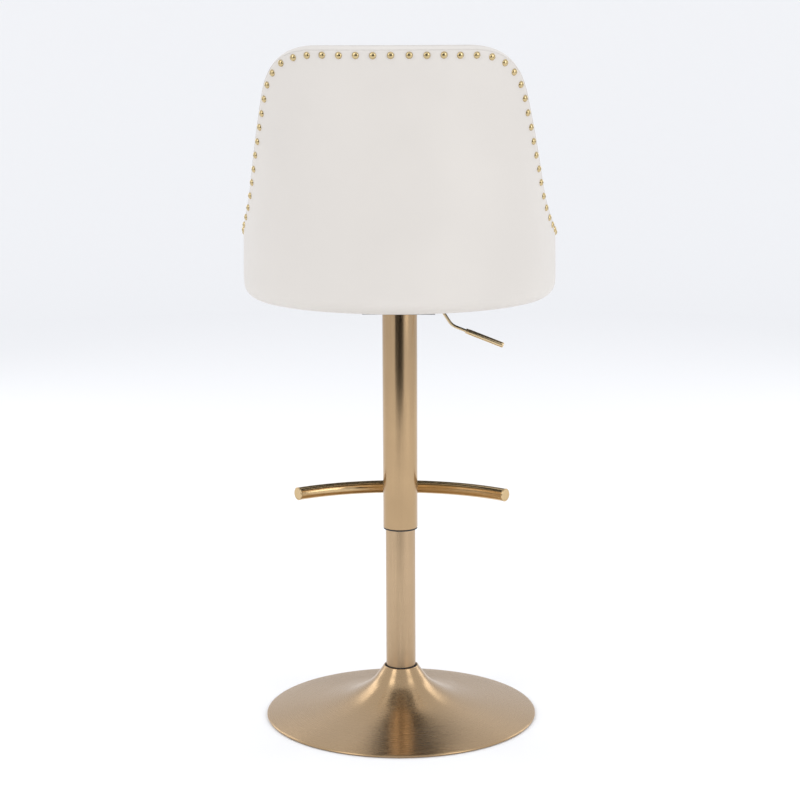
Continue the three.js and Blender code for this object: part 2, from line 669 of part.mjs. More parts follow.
// The cushion fills the tub and widens in front of the arms to cover the apron's top edge.
function seatCushion() {
  const columns = 60;
  const bottom = CUSHION_BOTTOM;
  const lip = DECK_HEIGHT + 0.6;
  const profileAt = (angle) => {
    const fromBack = Math.abs(THREE.MathUtils.euclideanModulo(angle + 180, 360) - 180);
    const edge = fromBack < ARM_END_ANGLE + 1 ? CUSHION_REAR_RADIUS : CUSHION_FRONT_RADIUS;
    return [
      [CUSHION_REAR_RADIUS, bottom], [CUSHION_REAR_RADIUS, lip], [edge - 4, lip], [edge, lip + 8],
      [edge, CUSHION_TOP - 30], [edge - 6, CUSHION_TOP - 18], [edge - 22, CUSHION_TOP - 9],
      [edge * 0.5, CUSHION_TOP - 2],
    ];
  };
  const positions = [0, TUB_CENTRE_Y, bottom, 0, TUB_CENTRE_Y, CUSHION_TOP];
  const index = [];
  const rows = profileAt(0).length;
  for (let i = 0; i < columns; i++) {
    const angle = (360 / columns) * i;
    const across = Math.sin(degrees(angle));
    const back = Math.cos(degrees(angle));
    for (const [radius, height] of profileAt(angle)) {
      positions.push(radius * across, TUB_CENTRE_Y + radius * back, height);
    }
    const here = 2 + i * rows;
    const next = 2 + ((i + 1) % columns) * rows;
    index.push(0, here, next);
    index.push(1, next + rows - 1, here + rows - 1);
    for (let j = 0; j < rows - 1; j++) {
      index.push(here + j, here + j + 1, next + j, next + j, here + j + 1, next + j + 1);
    }
  }
  const geometry = new THREE.BufferGeometry();
  geometry.setAttribute("position", new THREE.Float32BufferAttribute(positions, 3));
  geometry.setIndex(index);
  return geometry;
}

function buildSeat(group) {
  const columns = wallColumns();
  addPiece(group, "dust_cover", dustCover(), "cloth");
  addPiece(group, "seat_board", seatBoard(), "wood");
  addPiece(group, "seat_ring", seatRing(), "wood");
  addPiece(group, "back_shell", wallPiece(columns, shellSection), "wood");
  const coverSection = (rim) => skinSection(rim - NAIL_BAND, COVER_THICKNESS, 3);
  addPiece(group, "outer_cover", wallPiece(columns, coverSection), "leather");
  addPiece(group, "back_pad", wallPiece(columns, padSection), "leather");
  addPiece(group, "front_apron", frontApron(), "leather");
  addPiece(group, "seat_cushion", seatCushion(), "leather");
}

function buildCarriage() {
  const group = new THREE.Group();
  const sleeveTop = PAN_BOTTOM - GAP;
  addPiece(group, "gas_cylinder", gasCylinder(), "steel");
  const gland = ring(ROD_RADIUS + GAP, CYLINDER_BORE - GAP, CYLINDER_BOTTOM, GLAND_TOP, 20);
  const sleeve = ring(SLEEVE_RADIUS - SLEEVE_WALL, SLEEVE_RADIUS, SLEEVE_BOTTOM, sleeveTop);
  addPiece(group, "rod_gland", gland, "plastic");
  addPiece(group, "column_sleeve", sleeve, "gold");
  addPiece(group, "sleeve_glide", sleeveGlide(), "plastic");
  addPiece(group, "seat_plate", seatPlate(), "steel");
  addPiece(group, "plate_hub", plateHub(), "steel");
  addPiece(group, "lever_bracket", leverBracket(), "steel");
  addPiece(group, "lever_pin", leverPin(), "steel");
  screwPlaces().forEach(([x, y], i) => {
    addPiece(group, `seat_screw_${i + 1}`, seatScrew(), "steel").position.set(x, y, 0);
    addPiece(group, `tee_nut_${i + 1}`, teeNut(), "steel").position.set(x, y, 0);
  });
  buildFootrest(group);
  buildSeat(group);
  return group;
}

function buildButton() {
  const group = new THREE.Group();
  addPiece(group, "release_button", disc(BUTTON_RADIUS, BUTTON_BOTTOM, BUTTON_TOP, 16), "steel");
  return group;
}

const stool = new THREE.Group();
stool.add(buildBase(), buildRod(), buildCarriage(), buildLever(), buildButton());

export default stool;
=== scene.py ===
"""Looks of the adjustable bar stool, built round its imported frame: upholstery, nails and gold metalwork.

Metres, in the frame of the part: +Z up, the stool faces -Y, the origin is on the floor under the column.
"""

import json
import math
import random

import bmesh
import bpy
import numpy as np
from mathutils import Matrix, Vector
from mathutils.bvhtree import BVHTree
from mathutils.geometry import delaunay_2d_cdt


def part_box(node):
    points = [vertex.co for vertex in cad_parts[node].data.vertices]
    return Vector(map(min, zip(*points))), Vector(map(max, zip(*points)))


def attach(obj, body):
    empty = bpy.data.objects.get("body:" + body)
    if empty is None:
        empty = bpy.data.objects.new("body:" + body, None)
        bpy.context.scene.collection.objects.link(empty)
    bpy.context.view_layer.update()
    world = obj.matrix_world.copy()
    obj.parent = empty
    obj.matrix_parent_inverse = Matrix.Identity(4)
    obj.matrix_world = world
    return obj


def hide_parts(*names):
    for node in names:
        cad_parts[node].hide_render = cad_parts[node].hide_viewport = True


MM = 0.001
SEED = 7

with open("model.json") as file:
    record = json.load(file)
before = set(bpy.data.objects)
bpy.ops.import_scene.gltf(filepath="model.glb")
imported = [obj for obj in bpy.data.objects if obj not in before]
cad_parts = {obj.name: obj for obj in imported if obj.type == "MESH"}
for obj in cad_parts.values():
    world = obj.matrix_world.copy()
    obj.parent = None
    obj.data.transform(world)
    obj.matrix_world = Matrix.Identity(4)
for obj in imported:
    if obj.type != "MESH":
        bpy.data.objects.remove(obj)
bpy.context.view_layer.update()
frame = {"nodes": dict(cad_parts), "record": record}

# ---- Places and sizes, read from the frame ----
cover_low, cover_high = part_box("outer_cover")
pad_low, pad_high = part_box("back_pad")
ring_low, ring_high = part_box("seat_ring")
cushion_low, cushion_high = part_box("seat_cushion")
plate_low, plate_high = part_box("seat_plate")

TUB_RADIUS = (cover_high.x - cover_low.x) / 2
TUB_Y = (ring_low.y + ring_high.y) / 2
TUB_BOTTOM = cover_low.z
BACK_TOP = pad_high.z
DECK = ring_high.z

# ---- The wall of the tub, as the frame has it ----
TUB_EDGE = 25 * MM  # rounding where the wall turns under the seat
HEM = 17 * MM  # leather turned in under the seat
HEM_LEVEL = TUB_BOTTOM + TUB_EDGE * (1 - math.pi / 2) - HEM  # its edge, counted down along the wall
ARM_LEVEL = 835 * MM  # above this height the wall flares and leans back
BACK_FLARE = 28 * MM
BACK_SHIFT = 6 * MM
RIM_RADIUS = 262 * MM  # turns a distance along the rim into an angle
ARM_END = math.radians(126)
WALL = 45 * MM  # from the outer cover to the padded inside
RIM_STEP = 3 * MM

# Corners of the rim, as a distance from the middle of the back, a height, and where the rounding starts.
RIM_CORNERS = (
    (197 * MM, BACK_TOP, 80 * MM),
    (335 * MM, 852 * MM, 76 * MM),
    (ARM_END * RIM_RADIUS, 819 * MM, 33 * MM),
)

# ---- Upholstery ----
CREST = 17.5 * MM  # how far inside the outer face the rim's highest line lies
OUTER_ROLL = 12 * MM  # height of the rim's rounding on its outer side
INNER_ROLL = 24 * MM
SEAM = 7 * MM  # distance of the seam from the rim, on the outer side
SEAM_DEPTH = 1.8 * MM
NAIL_LINE = 15 * MM
NAIL_PITCH = 25 * MM
NAIL_RADIUS = 5.5 * MM
NAIL_HEIGHT = 3.1 * MM
NAIL_EDGE = 0.35 * MM  # height of a nail's straight edge, under its dome
QUILT_WIDTH = 66 * MM
QUILT_HEIGHT = 84 * MM
QUILT_BORDER = 40 * MM
QUILT_LIFT = 7 * MM
QUILT_CELLS = 13  # mesh lines along the side of one diamond
QUILT_FOOT = BACK_TOP - 3.5 * QUILT_HEIGHT  # a row of diamond tips ends the quilting


# ================= Mesh helpers =================
def make_mesh(name, points, faces, sharp=35):
    """A mesh object with smooth shading, whose edges sharper than `sharp` degrees stay crisp."""
    mesh = bpy.data.meshes.new(name)
    mesh.from_pydata([tuple(p) for p in points], [], [tuple(f) for f in faces])
    mesh.validate()
    mesh.polygons.foreach_set("use_smooth", [True] * len(mesh.polygons))
    mesh.set_sharp_from_angle(angle=math.radians(sharp))
    piece = bpy.data.objects.new(name, mesh)
    bpy.context.scene.collection.objects.link(piece)
    return piece


def face_out(piece, join=0):
    """Turns a piece's faces outwards, after joining points closer than `join`."""
    work = bmesh.new()
    work.from_mesh(piece.data)
    if join:
        bmesh.ops.remove_doubles(work, verts=work.verts, dist=join)
    bmesh.ops.recalc_face_normals(work, faces=work.faces)
    work.to_mesh(piece.data)
    work.free()


def settle(piece, body, slot, material, *nodes):
    """Gives a piece its material, sets it on its body and lets it stand for CAD nodes. The slot is not used.
    """
    piece.data.materials.clear()
    piece.data.materials.append(material)
    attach(piece, body)
    if nodes:
        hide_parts(*nodes)
    return piece


def turned(profile, segments=160):
    """Points and faces of a closed (radius, height) outline turned about the Z axis."""
    points, faces, rows = [], [], []
    for radius, height in profile:
        if radius < 1e-7:
            rows.append([len(points)] * segments)
            points.append((0, 0, height))
            continue
        rows.append(list(range(len(points), len(points) + segments)))
        for i in range(segments):
            angle = math.tau * i / segments
            points.append((radius * math.cos(angle), radius * math.sin(angle), height))
    for lower, upper in zip(rows, rows[1:] + rows[:1]):
        for i in range(segments):
            j = (i + 1) % segments
            corners = [lower[i], lower[j], upper[j], upper[i]]
            face = [c for k, c in enumerate(corners) if c not in corners[:k]]
            if len(face) > 2:
                faces.append(face)
    return points, faces


def corner(entry, here, leave, steps):
    """Points of a rounded corner, from entry to leave."""
    shares = [k / steps for k in range(steps + 1)]
    return [entry * (1 - t) ** 2 + here * (2 * t * (1 - t)) + leave * t**2 for t in shares]


def rounded(outline, radius, steps=4):
    """A closed outline with each corner rounded by up to `radius`."""
    result = []
    count = len(outline)
    for i, here in enumerate(outline):
        here = Vector(here)
        before, after = Vector(outline[i - 1]), Vector(outline[(i + 1) % count])
        if here.x < 1e-7 or radius == 0:
            result.append(tuple(here))
            continue
        reach = min(radius, (before - here).length * 0.45, (after - here).length * 0.45)
        entry = here + (before - here).normalized() * reach
        leave = here + (after - here).normalized() * reach
        result.extend(tuple(p) for p in corner(entry, here, leave, steps))
    return result


def swept(path, radius_at, sides=24, closed=False):
    """Points and faces of a round tube along a list of Vectors, with capped ends unless it is closed."""
    count = len(path)
    tangents = []
    for i in range(count):
        if closed:
            tangents.append((path[(i + 1) % count] - path[i - 1]).normalized())
        else:
            tangents.append((path[min(i + 1, count - 1)] - path[max(i - 1, 0)]).normalized())
    side = tangents[0].orthogonal().normalized()
    points, faces = [], []
    for i, (centre, tangent) in enumerate(zip(path, tangents)):
        side = (side - tangent * side.dot(tangent)).normalized()
        other = tangent.cross(side)
        radius = radius_at(i / (count - 1))
        for k in range(sides):
            angle = math.tau * k / sides
            points.append(centre + (side * math.cos(angle) + other * math.sin(angle)) * radius)
    for i in range(count if closed else count - 1):
        j = (i + 1) % count
        for k in range(sides):
            n = (k + 1) % sides
            faces.append((i * sides + k, i * sides + n, j * sides + n, j * sides + k))
    if not closed:
        faces.append(tuple(reversed(range(sides))))
        faces.append(tuple(range((count - 1) * sides, count * sides)))
    return points, faces


def grid_faces(rows, columns):
    """Faces of an open grid of points, given row by row."""
    starts = [row * columns + i for row in range(rows - 1) for i in range(columns - 1)]
    return [(a, a + 1, a + columns + 1, a + columns) for a in starts]


def merged(parts):
    """Points and faces of several (points, faces) pairs as one."""
    points, faces = [], []
    for some_points, some_faces in parts:
        start = len(points)
        points.extend(some_points)
        faces.extend([tuple(start + v for v in face) for face in some_faces])
    return points, faces


def placed(part, matrix):
    """A (points, faces) pair moved by a matrix."""
    points, faces = part
    return [matrix @ Vector(p) for p in points], faces


def standing_at(place, direction):
    """The matrix that sets a piece made about +Z at a place, along a direction."""
    turn = direction.to_track_quat("Z", "Y").to_matrix().to_4x4()
    return Matrix.Translation(place) @ turn


def smoothstep(value, low, high):
    """0 up to low, 1 from high, and a smooth rise between them."""
    t = np.clip((value - low) / (high - low), 0, 1)
    return t * t * (3 - 2 * t)


# ================= Materials =================
class Nodes:
    """A material's node tree, with short calls to add and link nodes."""

    def __init__(self, name):
        self.material = bpy.data.materials.new(name)
        self.material.use_nodes = True
        self.tree = self.material.node_tree
        self.tree.nodes.clear()
        self.output = self.add("ShaderNodeOutputMaterial")
        self.shader = self.add("ShaderNodeBsdfPrincipled")
        self.link(self.shader, "BSDF", self.output, "Surface")
        self.place = self.add("ShaderNodeTexCoord")

    def add(self, kind, **values):
        node = self.tree.nodes.new(kind)
        for key, value in values.items():
            if key in node.inputs:
                node.inputs[key].default_value = value
            else:
                setattr(node, key, value)
        return node

    def link(self, source, output, target, socket):
        self.tree.links.new(source.outputs[output], target.inputs[socket])

    def shade(self, **values):
        """Sets inputs of the shader. An underscore stands for a space in an input's name."""
        for key, value in values.items():
            self.shader.inputs[key.replace("_", " ")].default_value = value

    def noise(self, scale, detail=3.0, stretch=None):
        """Noise in object space; stretch squeezes it along the axes."""
        node = self.add("ShaderNodeTexNoise", Scale=scale, Detail=detail)
        source, output = self.place, "Object"
        if stretch:
            source, output = self.add("ShaderNodeMapping", Scale=stretch), "Vector"
            self.link(self.place, "Object", source, "Vector")
        self.link(source, output, node, "Vector")
        return node

    def ramp(self, target, source, output, low, high, start=0.3, end=0.7):
        """Maps a value from start..end to two colours or greys, and gives them to a shader's input."""
        node = self.add("ShaderNodeValToRGB")
        node.color_ramp.elements[0].position = start
        node.color_ramp.elements[1].position = end
        for element, colour in zip(node.color_ramp.elements, (low, high)):
            element.color = (*colour, 1) if isinstance(colour, tuple) else (colour, colour, colour, 1)
        self.link(source, output, node, "Fac")
        self.link(node, "Color", self.shader, target)

    def bump(self, source, output, strength, distance, after=None):
        node = self.add("ShaderNodeBump", Strength=strength, Distance=distance)
        self.link(source, output, node, "Height")
        if after:
            self.link(after, "Normal", node, "Normal")
        self.link(node, "Normal", self.shader, "Normal")
        return node


def dimmed(colour, share):
    return tuple(c * share for c in colour)


def leather_material(name, colour):
    """Soft coated leather: a fine pebble over slow creases."""
    nodes = Nodes(name)
    nodes.ramp("Base Color", nodes.noise(9, 2), "Fac", dimmed(colour, 0.975), colour)
    nodes.ramp("Roughness", nodes.noise(60, 3), "Fac", 0.4, 0.52)
    creases = nodes.bump(nodes.noise(38, 3), "Fac", 0.25, 0.9 * MM)
    pebble = nodes.add("ShaderNodeTexVoronoi", feature="SMOOTH_F1", Scale=820)
    pebble.inputs["Smoothness"].default_value = 0.6
    nodes.link(nodes.place, "Object", pebble, "Vector")
    grain = nodes.bump(pebble, "Distance", 0.3, 0.16 * MM, after=creases)
    nodes.bump(nodes.noise(2600, 2), "Fac", 0.12, 0.05 * MM, after=grain)
    nodes.shade(Specular_IOR_Level=0.42, Coat_Weight=0.06, Coat_Roughness=0.35)
    return nodes.material


def thread_material(name, colour):
    """Twisted sewing thread, with painted shade in the grooves of its twist."""
    nodes = Nodes(name)
    twist = nodes.add("ShaderNodeTexWave", bands_direction="DIAGONAL", Scale=900)
    nodes.link(nodes.place, "Object", twist, "Vector")
    # painted shade: the low bands of the twist, where the bump sinks, take the darker colour
    nodes.ramp("Base Color", twist, "Fac", dimmed(colour, 0.8), colour)
    nodes.bump(twist, "Fac", 0.5, 0.1 * MM)
    nodes.shade(Roughness=0.7)
    return nodes.material


def gold_material(name, colour, roughness, stretch, grain=0.1):
    """Plated metal with fine polishing lines. stretch sets their direction."""
    nodes = Nodes(name)
    lines = nodes.noise(1, 4, stretch)
    nodes.ramp("Base Color", nodes.noise(14, 3), "Fac", dimmed(colour, 0.92), colour)
    nodes.ramp("Roughness", lines, "Fac", roughness * 0.8, roughness * 1.25)
    nodes.bump(lines, "Fac", grain, 0.03 * MM)
    nodes.shade(Metallic=1)
    return nodes.material


def spun_gold_material(name, colour, roughness, anisotropy):
    """Metal brushed in circles about the Z axis, as a spun sheet is."""
    nodes = Nodes(name)
    split = nodes.add("ShaderNodeSeparateXYZ")
    nodes.link(nodes.place, "Object", split, "Vector")
    across = nodes.add("ShaderNodeCombineXYZ")
    nodes.link(split, "X", across, "X")
    nodes.link(split, "Y", across, "Y")
    radius = nodes.add("ShaderNodeVectorMath", operation="LENGTH")
    nodes.link(across, "Vector", radius, 0)
    angle = nodes.add("ShaderNodeMath", operation="ARCTAN2")
    nodes.link(split, "Y", angle, 0)
    nodes.link(split, "X", angle, 1)
    around = nodes.add("ShaderNodeCombineXYZ")
    nodes.link(radius, "Value", around, "X")
    nodes.link(angle, "Value", around, "Y")
    nodes.link(split, "Z", around, "Z")
    squeeze = nodes.add("ShaderNodeMapping", Scale=(2200, 5, 2200))
    nodes.link(around, "Vector", squeeze, "Vector")
    lines = nodes.add("ShaderNodeTexNoise", Scale=1, Detail=3)
    nodes.link(squeeze, "Vector", lines, "Vector")
    nodes.ramp("Base Color", nodes.noise(6, 2), "Fac", dimmed(colour, 0.94), colour)
    nodes.ramp("Roughness", lines, "Fac", roughness * 0.8, roughness * 1.3)
    nodes.bump(lines, "Fac", 0.07, 0.02 * MM)
    nodes.shade(Metallic=1, Anisotropic=anisotropy, Anisotropic_Rotation=0.25)
    tangent = nodes.add("ShaderNodeTangent", direction_type="RADIAL", axis="Z")
    nodes.link(tangent, "Tangent", nodes.shader, "Tangent")
    return nodes.material


def plain_material(name, colour, roughness, metallic=0.0, scale=400, depth=0.1, grain=0.2):
    """Rubber, moulded plastic, cement or steel, with a mottled tone and a fine surface."""
    nodes = Nodes(name)
    nodes.ramp("Base Color", nodes.noise(scale / 12, 3), "Fac", dimmed(colour, 0.75), colour)
    rough = min(1.0, roughness * 1.15)
    nodes.ramp("Roughness", nodes.noise(scale / 5, 2), "Fac", roughness * 0.85, rough)
    nodes.bump(nodes.noise(scale, 3), "Fac", grain, depth * MM)
    nodes.shade(Metallic=metallic)
    return nodes.material


def wood_material(name):
    """Plywood: thin plies across its thickness and a long grain."""
    nodes = Nodes(name)
    grain = nodes.noise(1, 4, (18, 180, 300))
    nodes.ramp("Base Color", grain, "Fac", (0.36, 0.24, 0.13), (0.58, 0.42, 0.25))
    nodes.bump(grain, "Fac", 0.25, 0.2 * MM)
    nodes.shade(Roughness=0.68)
    return nodes.material


def felt_material(name):
    """Non-woven backing cloth with a bonded dot pattern."""
    nodes = Nodes(name)
    dots = nodes.add("ShaderNodeTexVoronoi", Scale=520, Randomness=0.25)
    nodes.link(nodes.place, "Object", dots, "Vector")
    nodes.ramp("Base Color", dots, "Distance", (0.012, 0.012, 0.013), (0.03, 0.03, 0.032), 0.1, 0.5)
    nodes.bump(dots, "Distance", 0.5, 0.3 * MM)
    nodes.shade(Roughness=0.95)
    return nodes.material


LEATHER_COLOUR = (0.70, 0.66, 0.61)
GOLD_COLOUR = (0.50, 0.345, 0.195)
PALE_GOLD_COLOUR = (0.53, 0.38, 0.235)
BRIGHT_GOLD_COLOUR = (0.66, 0.48, 0.26)
NAIL_COLOUR = (0.60, 0.47, 0.25)
LEVER_COLOUR = (0.74, 0.58, 0.35)

leather = leather_material("leather_cream", LEATHER_COLOUR)
thread = thread_material("thread_cream", (0.72, 0.68, 0.62))
spun_gold = spun_gold_material("gold_spun", GOLD_COLOUR, 0.25, 0.85)
column_gold = gold_material("gold_column", GOLD_COLOUR, 0.2, (300, 300, 6))
pale_gold = gold_material("gold_pale", PALE_GOLD_COLOUR, 0.3, (300, 300, 6))
bright_gold = gold_material("gold_bright", BRIGHT_GOLD_COLOUR, 0.16, (260, 260, 260), grain=0.05)
lever_gold = gold_material("gold_lever", LEVER_COLOUR, 0.3, (260, 260, 260), grain=0.05)
nail_gold = gold_material("gold_nails", NAIL_COLOUR, 0.22, (260, 260, 260), grain=0.05)
steel = plain_material("steel_zinc", (0.56, 0.56, 0.55), 0.34, metallic=1, scale=900, depth=0.05)
cement = plain_material("cement_ballast", (0.23, 0.22, 0.21), 0.85, scale=500, depth=0.5, grain=0.5)
rubber = plain_material("rubber_black", (0.02, 0.02, 0.02), 0.8, scale=1500, depth=0.08)
plastic = plain_material("plastic_black", (0.025, 0.024, 0.023), 0.5, scale=1800, depth=0.05)
wood = wood_material("plywood")
felt = felt_material("felt_black")

SLOT_MATERIALS = {
    "gold_metal": column_gold,
    "pale_gold_metal": pale_gold,
    "footrest_gold": bright_gold,
    "steel": steel,
    "cement": cement,
    "rubber": rubber,
    "plastic": plastic,
    "leather": leather,
    "padding": leather,
    "wood": wood,
    "dust_cloth": felt,
}


# ================= The rim and the wall =================
def rim_half():
    """Points (distance along the wall, height) of the rim, from the middle of the back to one arm's foot."""
    line = [Vector((0, BACK_TOP))]
    foot = Vector((ARM_END * RIM_RADIUS, DECK))
    corners = [Vector(corner[:2]) for corner in RIM_CORNERS]
    for i, here in enumerate(corners):
        ease = RIM_CORNERS[i][2]
        after = corners[i + 1] if i + 1 < len(corners) else foot
        entry = here + (line[-1] - here).normalized() * ease
        leave = here + (after - here).normalized() * ease
        line.extend(corner(entry, here, leave, 24))
    line.append(foot)
    return np.array([tuple(p) for p in line])


def resampled(line, step):
    """The same line with points about `step` apart."""
    lengths = np.r_[0, np.cumsum(np.linalg.norm(np.diff(line, axis=0), axis=1))]
    count = max(2, round(lengths[-1] / step) + 1)
    at = np.linspace(0, lengths[-1], count)
    return np.stack([np.interp(at, lengths, line[:, axis]) for axis in range(line.shape[1])], axis=1)


half = resampled(rim_half(), RIM_STEP)
rim = np.concatenate([half[::-1] * (-1, 1), half[1:]])
rim_direction = np.gradient(rim, axis=0)
rim_direction /= np.linalg.norm(rim_direction, axis=1)[:, None]
rim_inward = np.stack([rim_direction[:, 1], -rim_direction[:, 0]], axis=1)


def rim_offset(distance):
    """The rim moved into the panel by a distance."""
    return rim + rim_inward * distance


def distance_from(points, line):
    """Distance of each point from a line of points."""
    start, end = line[:-1], line[1:]
    along = end - start
    result = np.full(len(points), np.inf)
    for chunk in range(0, len(points), 2000):
        some = points[chunk : chunk + 2000, None, :]
        share = ((some - start) * along).sum(2) / (along**2).sum(1)
        near = start + along * np.clip(share, 0, 1)[..., None]
        result[chunk : chunk + 2000] = np.linalg.norm(some - near, axis=2).min(1)
    return result


def below_rim(points):
    return points[:, 1] < np.interp(np.abs(points[:, 0]), half[:, 0], half[:, 1])


def wall_points(flat, inset):
    """Places flat points (distance along the wall, height) on the wall, at a depth under its outer face.

    Heights below the rounded lower edge run on round the edge and in under the seat.
    """
    height = flat[:, 1].copy()
    edge_top = TUB_BOTTOM + TUB_EDGE
    past = np.clip(edge_top - height, 0, None)
    turn = np.clip(past / TUB_EDGE, 0, math.pi / 2)
    hem = np.clip(past - TUB_EDGE * math.pi / 2, 0, None)
    depth = (TUB_EDGE - (TUB_EDGE - inset) * np.cos(turn)) * (past > 0) + inset * (past <= 0) + hem
    height = np.where(past > 0, edge_top - (TUB_EDGE - inset) * np.sin(turn), height)
    rise = np.clip((height - ARM_LEVEL) / (BACK_TOP - ARM_LEVEL), 0, None)
    radius = TUB_RADIUS + BACK_FLARE * rise**2 - depth
    centre = TUB_Y - BACK_SHIFT * rise**2
    angle = flat[:, 0] / RIM_RADIUS
    return np.stack([radius * np.sin(angle), centre + radius * np.cos(angle), height], axis=1)


def filled(border, loops, lattice):
    """Triangles over the area inside a closed border, through the loops' and lattice's points."""
    points = [tuple(p) for p in border]
    edges = []
    for loop in loops:
        start = len(points)
        points.extend(tuple(p) for p in loop)
        edges.extend((start + i, start + i + 1) for i in range(len(loop) - 1))
    points.extend(tuple(p) for p in lattice)
    made = delaunay_2d_cdt([Vector(p) for p in points], edges, [list(range(len(border)))], 1, 1e-6)
    return np.array([tuple(p) for p in made[0]]), [tuple(face) for face in made[2]]


def bottom_line(left, right, height, step):
    count = round((right - left) / step) + 1
    return np.stack([np.linspace(right, left, count), np.full(count, height)], axis=1)[1:-1]


# ================= Nails =================
def nail_places():
    """Evenly pitched places along the nail line, a little uneven as hammered nails are."""
    rng = random.Random(SEED)
    line = rim_offset(NAIL_LINE)
    line = line[line[:, 1] > DECK + 16 * MM]
    places = resampled(line, NAIL_PITCH)
    return np.array([(s + rng.uniform(-0.8, 0.8) * MM, z + rng.uniform(-0.5, 0.5) * MM) for s, z in places])


nails = nail_places()


def build_nails():
    profile = [
        (NAIL_RADIUS - 0.3 * MM, -0.6 * MM),
        (NAIL_RADIUS, 0),
        (NAIL_RADIUS - 0.05 * MM, NAIL_EDGE),
    ]
    for k in range(1, 8):
        angle = math.pi / 2 * k / 7
        radius = (NAIL_RADIUS - 0.25 * MM) * math.cos(angle)
        profile.append((radius, NAIL_EDGE + NAIL_HEIGHT * math.sin(angle)))
    dome = turned(profile, 20)
    seats = wall_points(nails, np.full(len(nails), 0.5 * MM))
    above = wall_points(nails + (0, MM), np.zeros(len(nails)))
    beside = wall_points(nails + (MM, 0), np.zeros(len(nails)))
    here = wall_points(nails, np.zeros(len(nails)))
    parts = []
    for seat, up, side, foot in zip(seats, above, beside, here):
        normal = Vector(up - foot).cross(Vector(side - foot)).normalized()
        if normal.to_2d().dot(Vector(seat[:2]) - Vector((0, TUB_Y))) < 0:
            normal.negate()
        parts.append(placed(dome, standing_at(Vector(seat), normal)))
    piece = make_mesh("decorative_nails", *merged(parts))
    return settle(piece, "carriage", "footrest_gold", nail_gold)


# ================= Outer cover =================
def build_outer_cover():
    """The panel inside the nail line, round the tub and under its edge."""
    top = rim_offset(SEAM)
    end = ARM_END * RIM_RADIUS - 0.2 * MM
    drop = np.linspace(DECK, HEM_LEVEL, 14)
    right = np.stack([np.full(len(drop), end), drop], axis=1)
    left = right[::-1] * (-1, 1)
    border = np.concatenate([top, right, bottom_line(-end, end, HEM_LEVEL, 7 * MM), left])
    offsets = [d * MM for d in (8, 9.2, 10.6, 12, 13.5, 15, 16.5, 18, 20, 23, 27)]
    loops = [rim_offset(d) for d in offsets]
    step = 8 * MM
    columns = np.arange(-end + step, end - step / 2, step)
    rows = np.arange(HEM_LEVEL + step, BACK_TOP, step)
    edge_rows = TUB_BOTTOM + TUB_EDGE - TUB_EDGE * np.radians(np.arange(10, 90, 10))
    rows = rows[rows > TUB_BOTTOM + TUB_EDGE + 4 * MM]
    rows = np.sort(np.concatenate([rows, edge_rows, [HEM_LEVEL + step]]))
    lattice = np.array([(s, z) for z in rows for s in columns])
    lattice = lattice[below_rim(lattice) & (distance_from(lattice, rim) > offsets[-1] + 3 * MM)]
    flat, faces = filled(border, loops, lattice)
    from_rim = distance_from(flat, rim)
    from_nail = np.min(np.linalg.norm(flat[:, None, :] - nails[None, :, :], axis=2), axis=1)
    low_part = smoothstep(DECK - flat[:, 1], -2 * MM, 6 * MM)
    tuck = SEAM_DEPTH * np.exp(-np.clip(from_rim - SEAM, 0, None) / (1.6 * MM)) * (1 - low_part)
    dimple = 0.9 * MM * np.exp(-((from_nail / (6.5 * MM)) ** 2))
    crown = 1.2 * MM * smoothstep(from_rim, 15 * MM, 110 * MM) * smoothstep(flat[:, 1], TUB_BOTTOM, DECK)
    end_tuck = 2 * MM * np.exp(-(end - np.abs(flat[:, 0])) / (1.8 * MM)) * low_part
    points = wall_points(flat, tuck + dimple - crown + end_tuck)
    piece = make_mesh("back_outer_cover", points, faces, sharp=80)
    return settle(piece, "carriage", "leather", leather, "outer_cover")


# ================= Padded inside of the back =================
def quilt_axes(flat):
    """The two diagonal counts of a point, whole on the quilting's seams."""
    across, up = flat[:, 0] / QUILT_WIDTH, (flat[:, 1] - BACK_TOP) / QUILT_HEIGHT
    return across + up, across - up


def quilt_region(flat, from_rim):
    inside = smoothstep(from_rim, QUILT_BORDER - 2 * MM, QUILT_BORDER + 3 * MM)
    return inside * smoothstep(flat[:, 1], QUILT_FOOT, QUILT_FOOT + 5 * MM)


def pad_inset(flat):
    """Depth of the padded inside under the wall's outer face."""
    from_rim = distance_from(flat, rim)
    roll = np.clip((INNER_ROLL - from_rim) / INNER_ROLL, 0, 1)
    inset = CREST + (WALL - CREST) * np.sqrt(1 - roll**2)
    one, other = quilt_axes(flat)
    seam_scale = 1 / math.hypot(1 / QUILT_WIDTH, 1 / QUILT_HEIGHT)
    to_one = np.abs(one - np.round(one)) * seam_scale
    to_other = np.abs(other - np.round(other)) * seam_scale
    puff = np.tanh(to_one / (8 * MM)) * np.tanh(to_other / (8 * MM))
    region = quilt_region(flat, from_rim)
    border_groove = np.exp(-(((from_rim - QUILT_BORDER) / (2.6 * MM)) ** 2))
    border_groove = border_groove * smoothstep(flat[:, 1], QUILT_FOOT - 10 * MM, QUILT_FOOT)
    foot_groove = np.exp(-(((flat[:, 1] - QUILT_FOOT) / (2.6 * MM)) ** 2))
    foot_groove = foot_groove * smoothstep(from_rim, QUILT_BORDER - 3 * MM, QUILT_BORDER)
    groove = np.maximum(border_groove, foot_groove)
    swell = 3 * MM * smoothstep(from_rim, 0, INNER_ROLL)
    return inset + swell * (1 - region) - 4 * MM * groove + (QUILT_LIFT * puff - 1.5 * MM) * region


def rim_roll(count, depth):
    """Distances from the rim, close together near it, down to a depth."""
    return [depth * (1 - math.sin(math.pi / 2 * (1 - k / count))) for k in range(1, count + 1)]


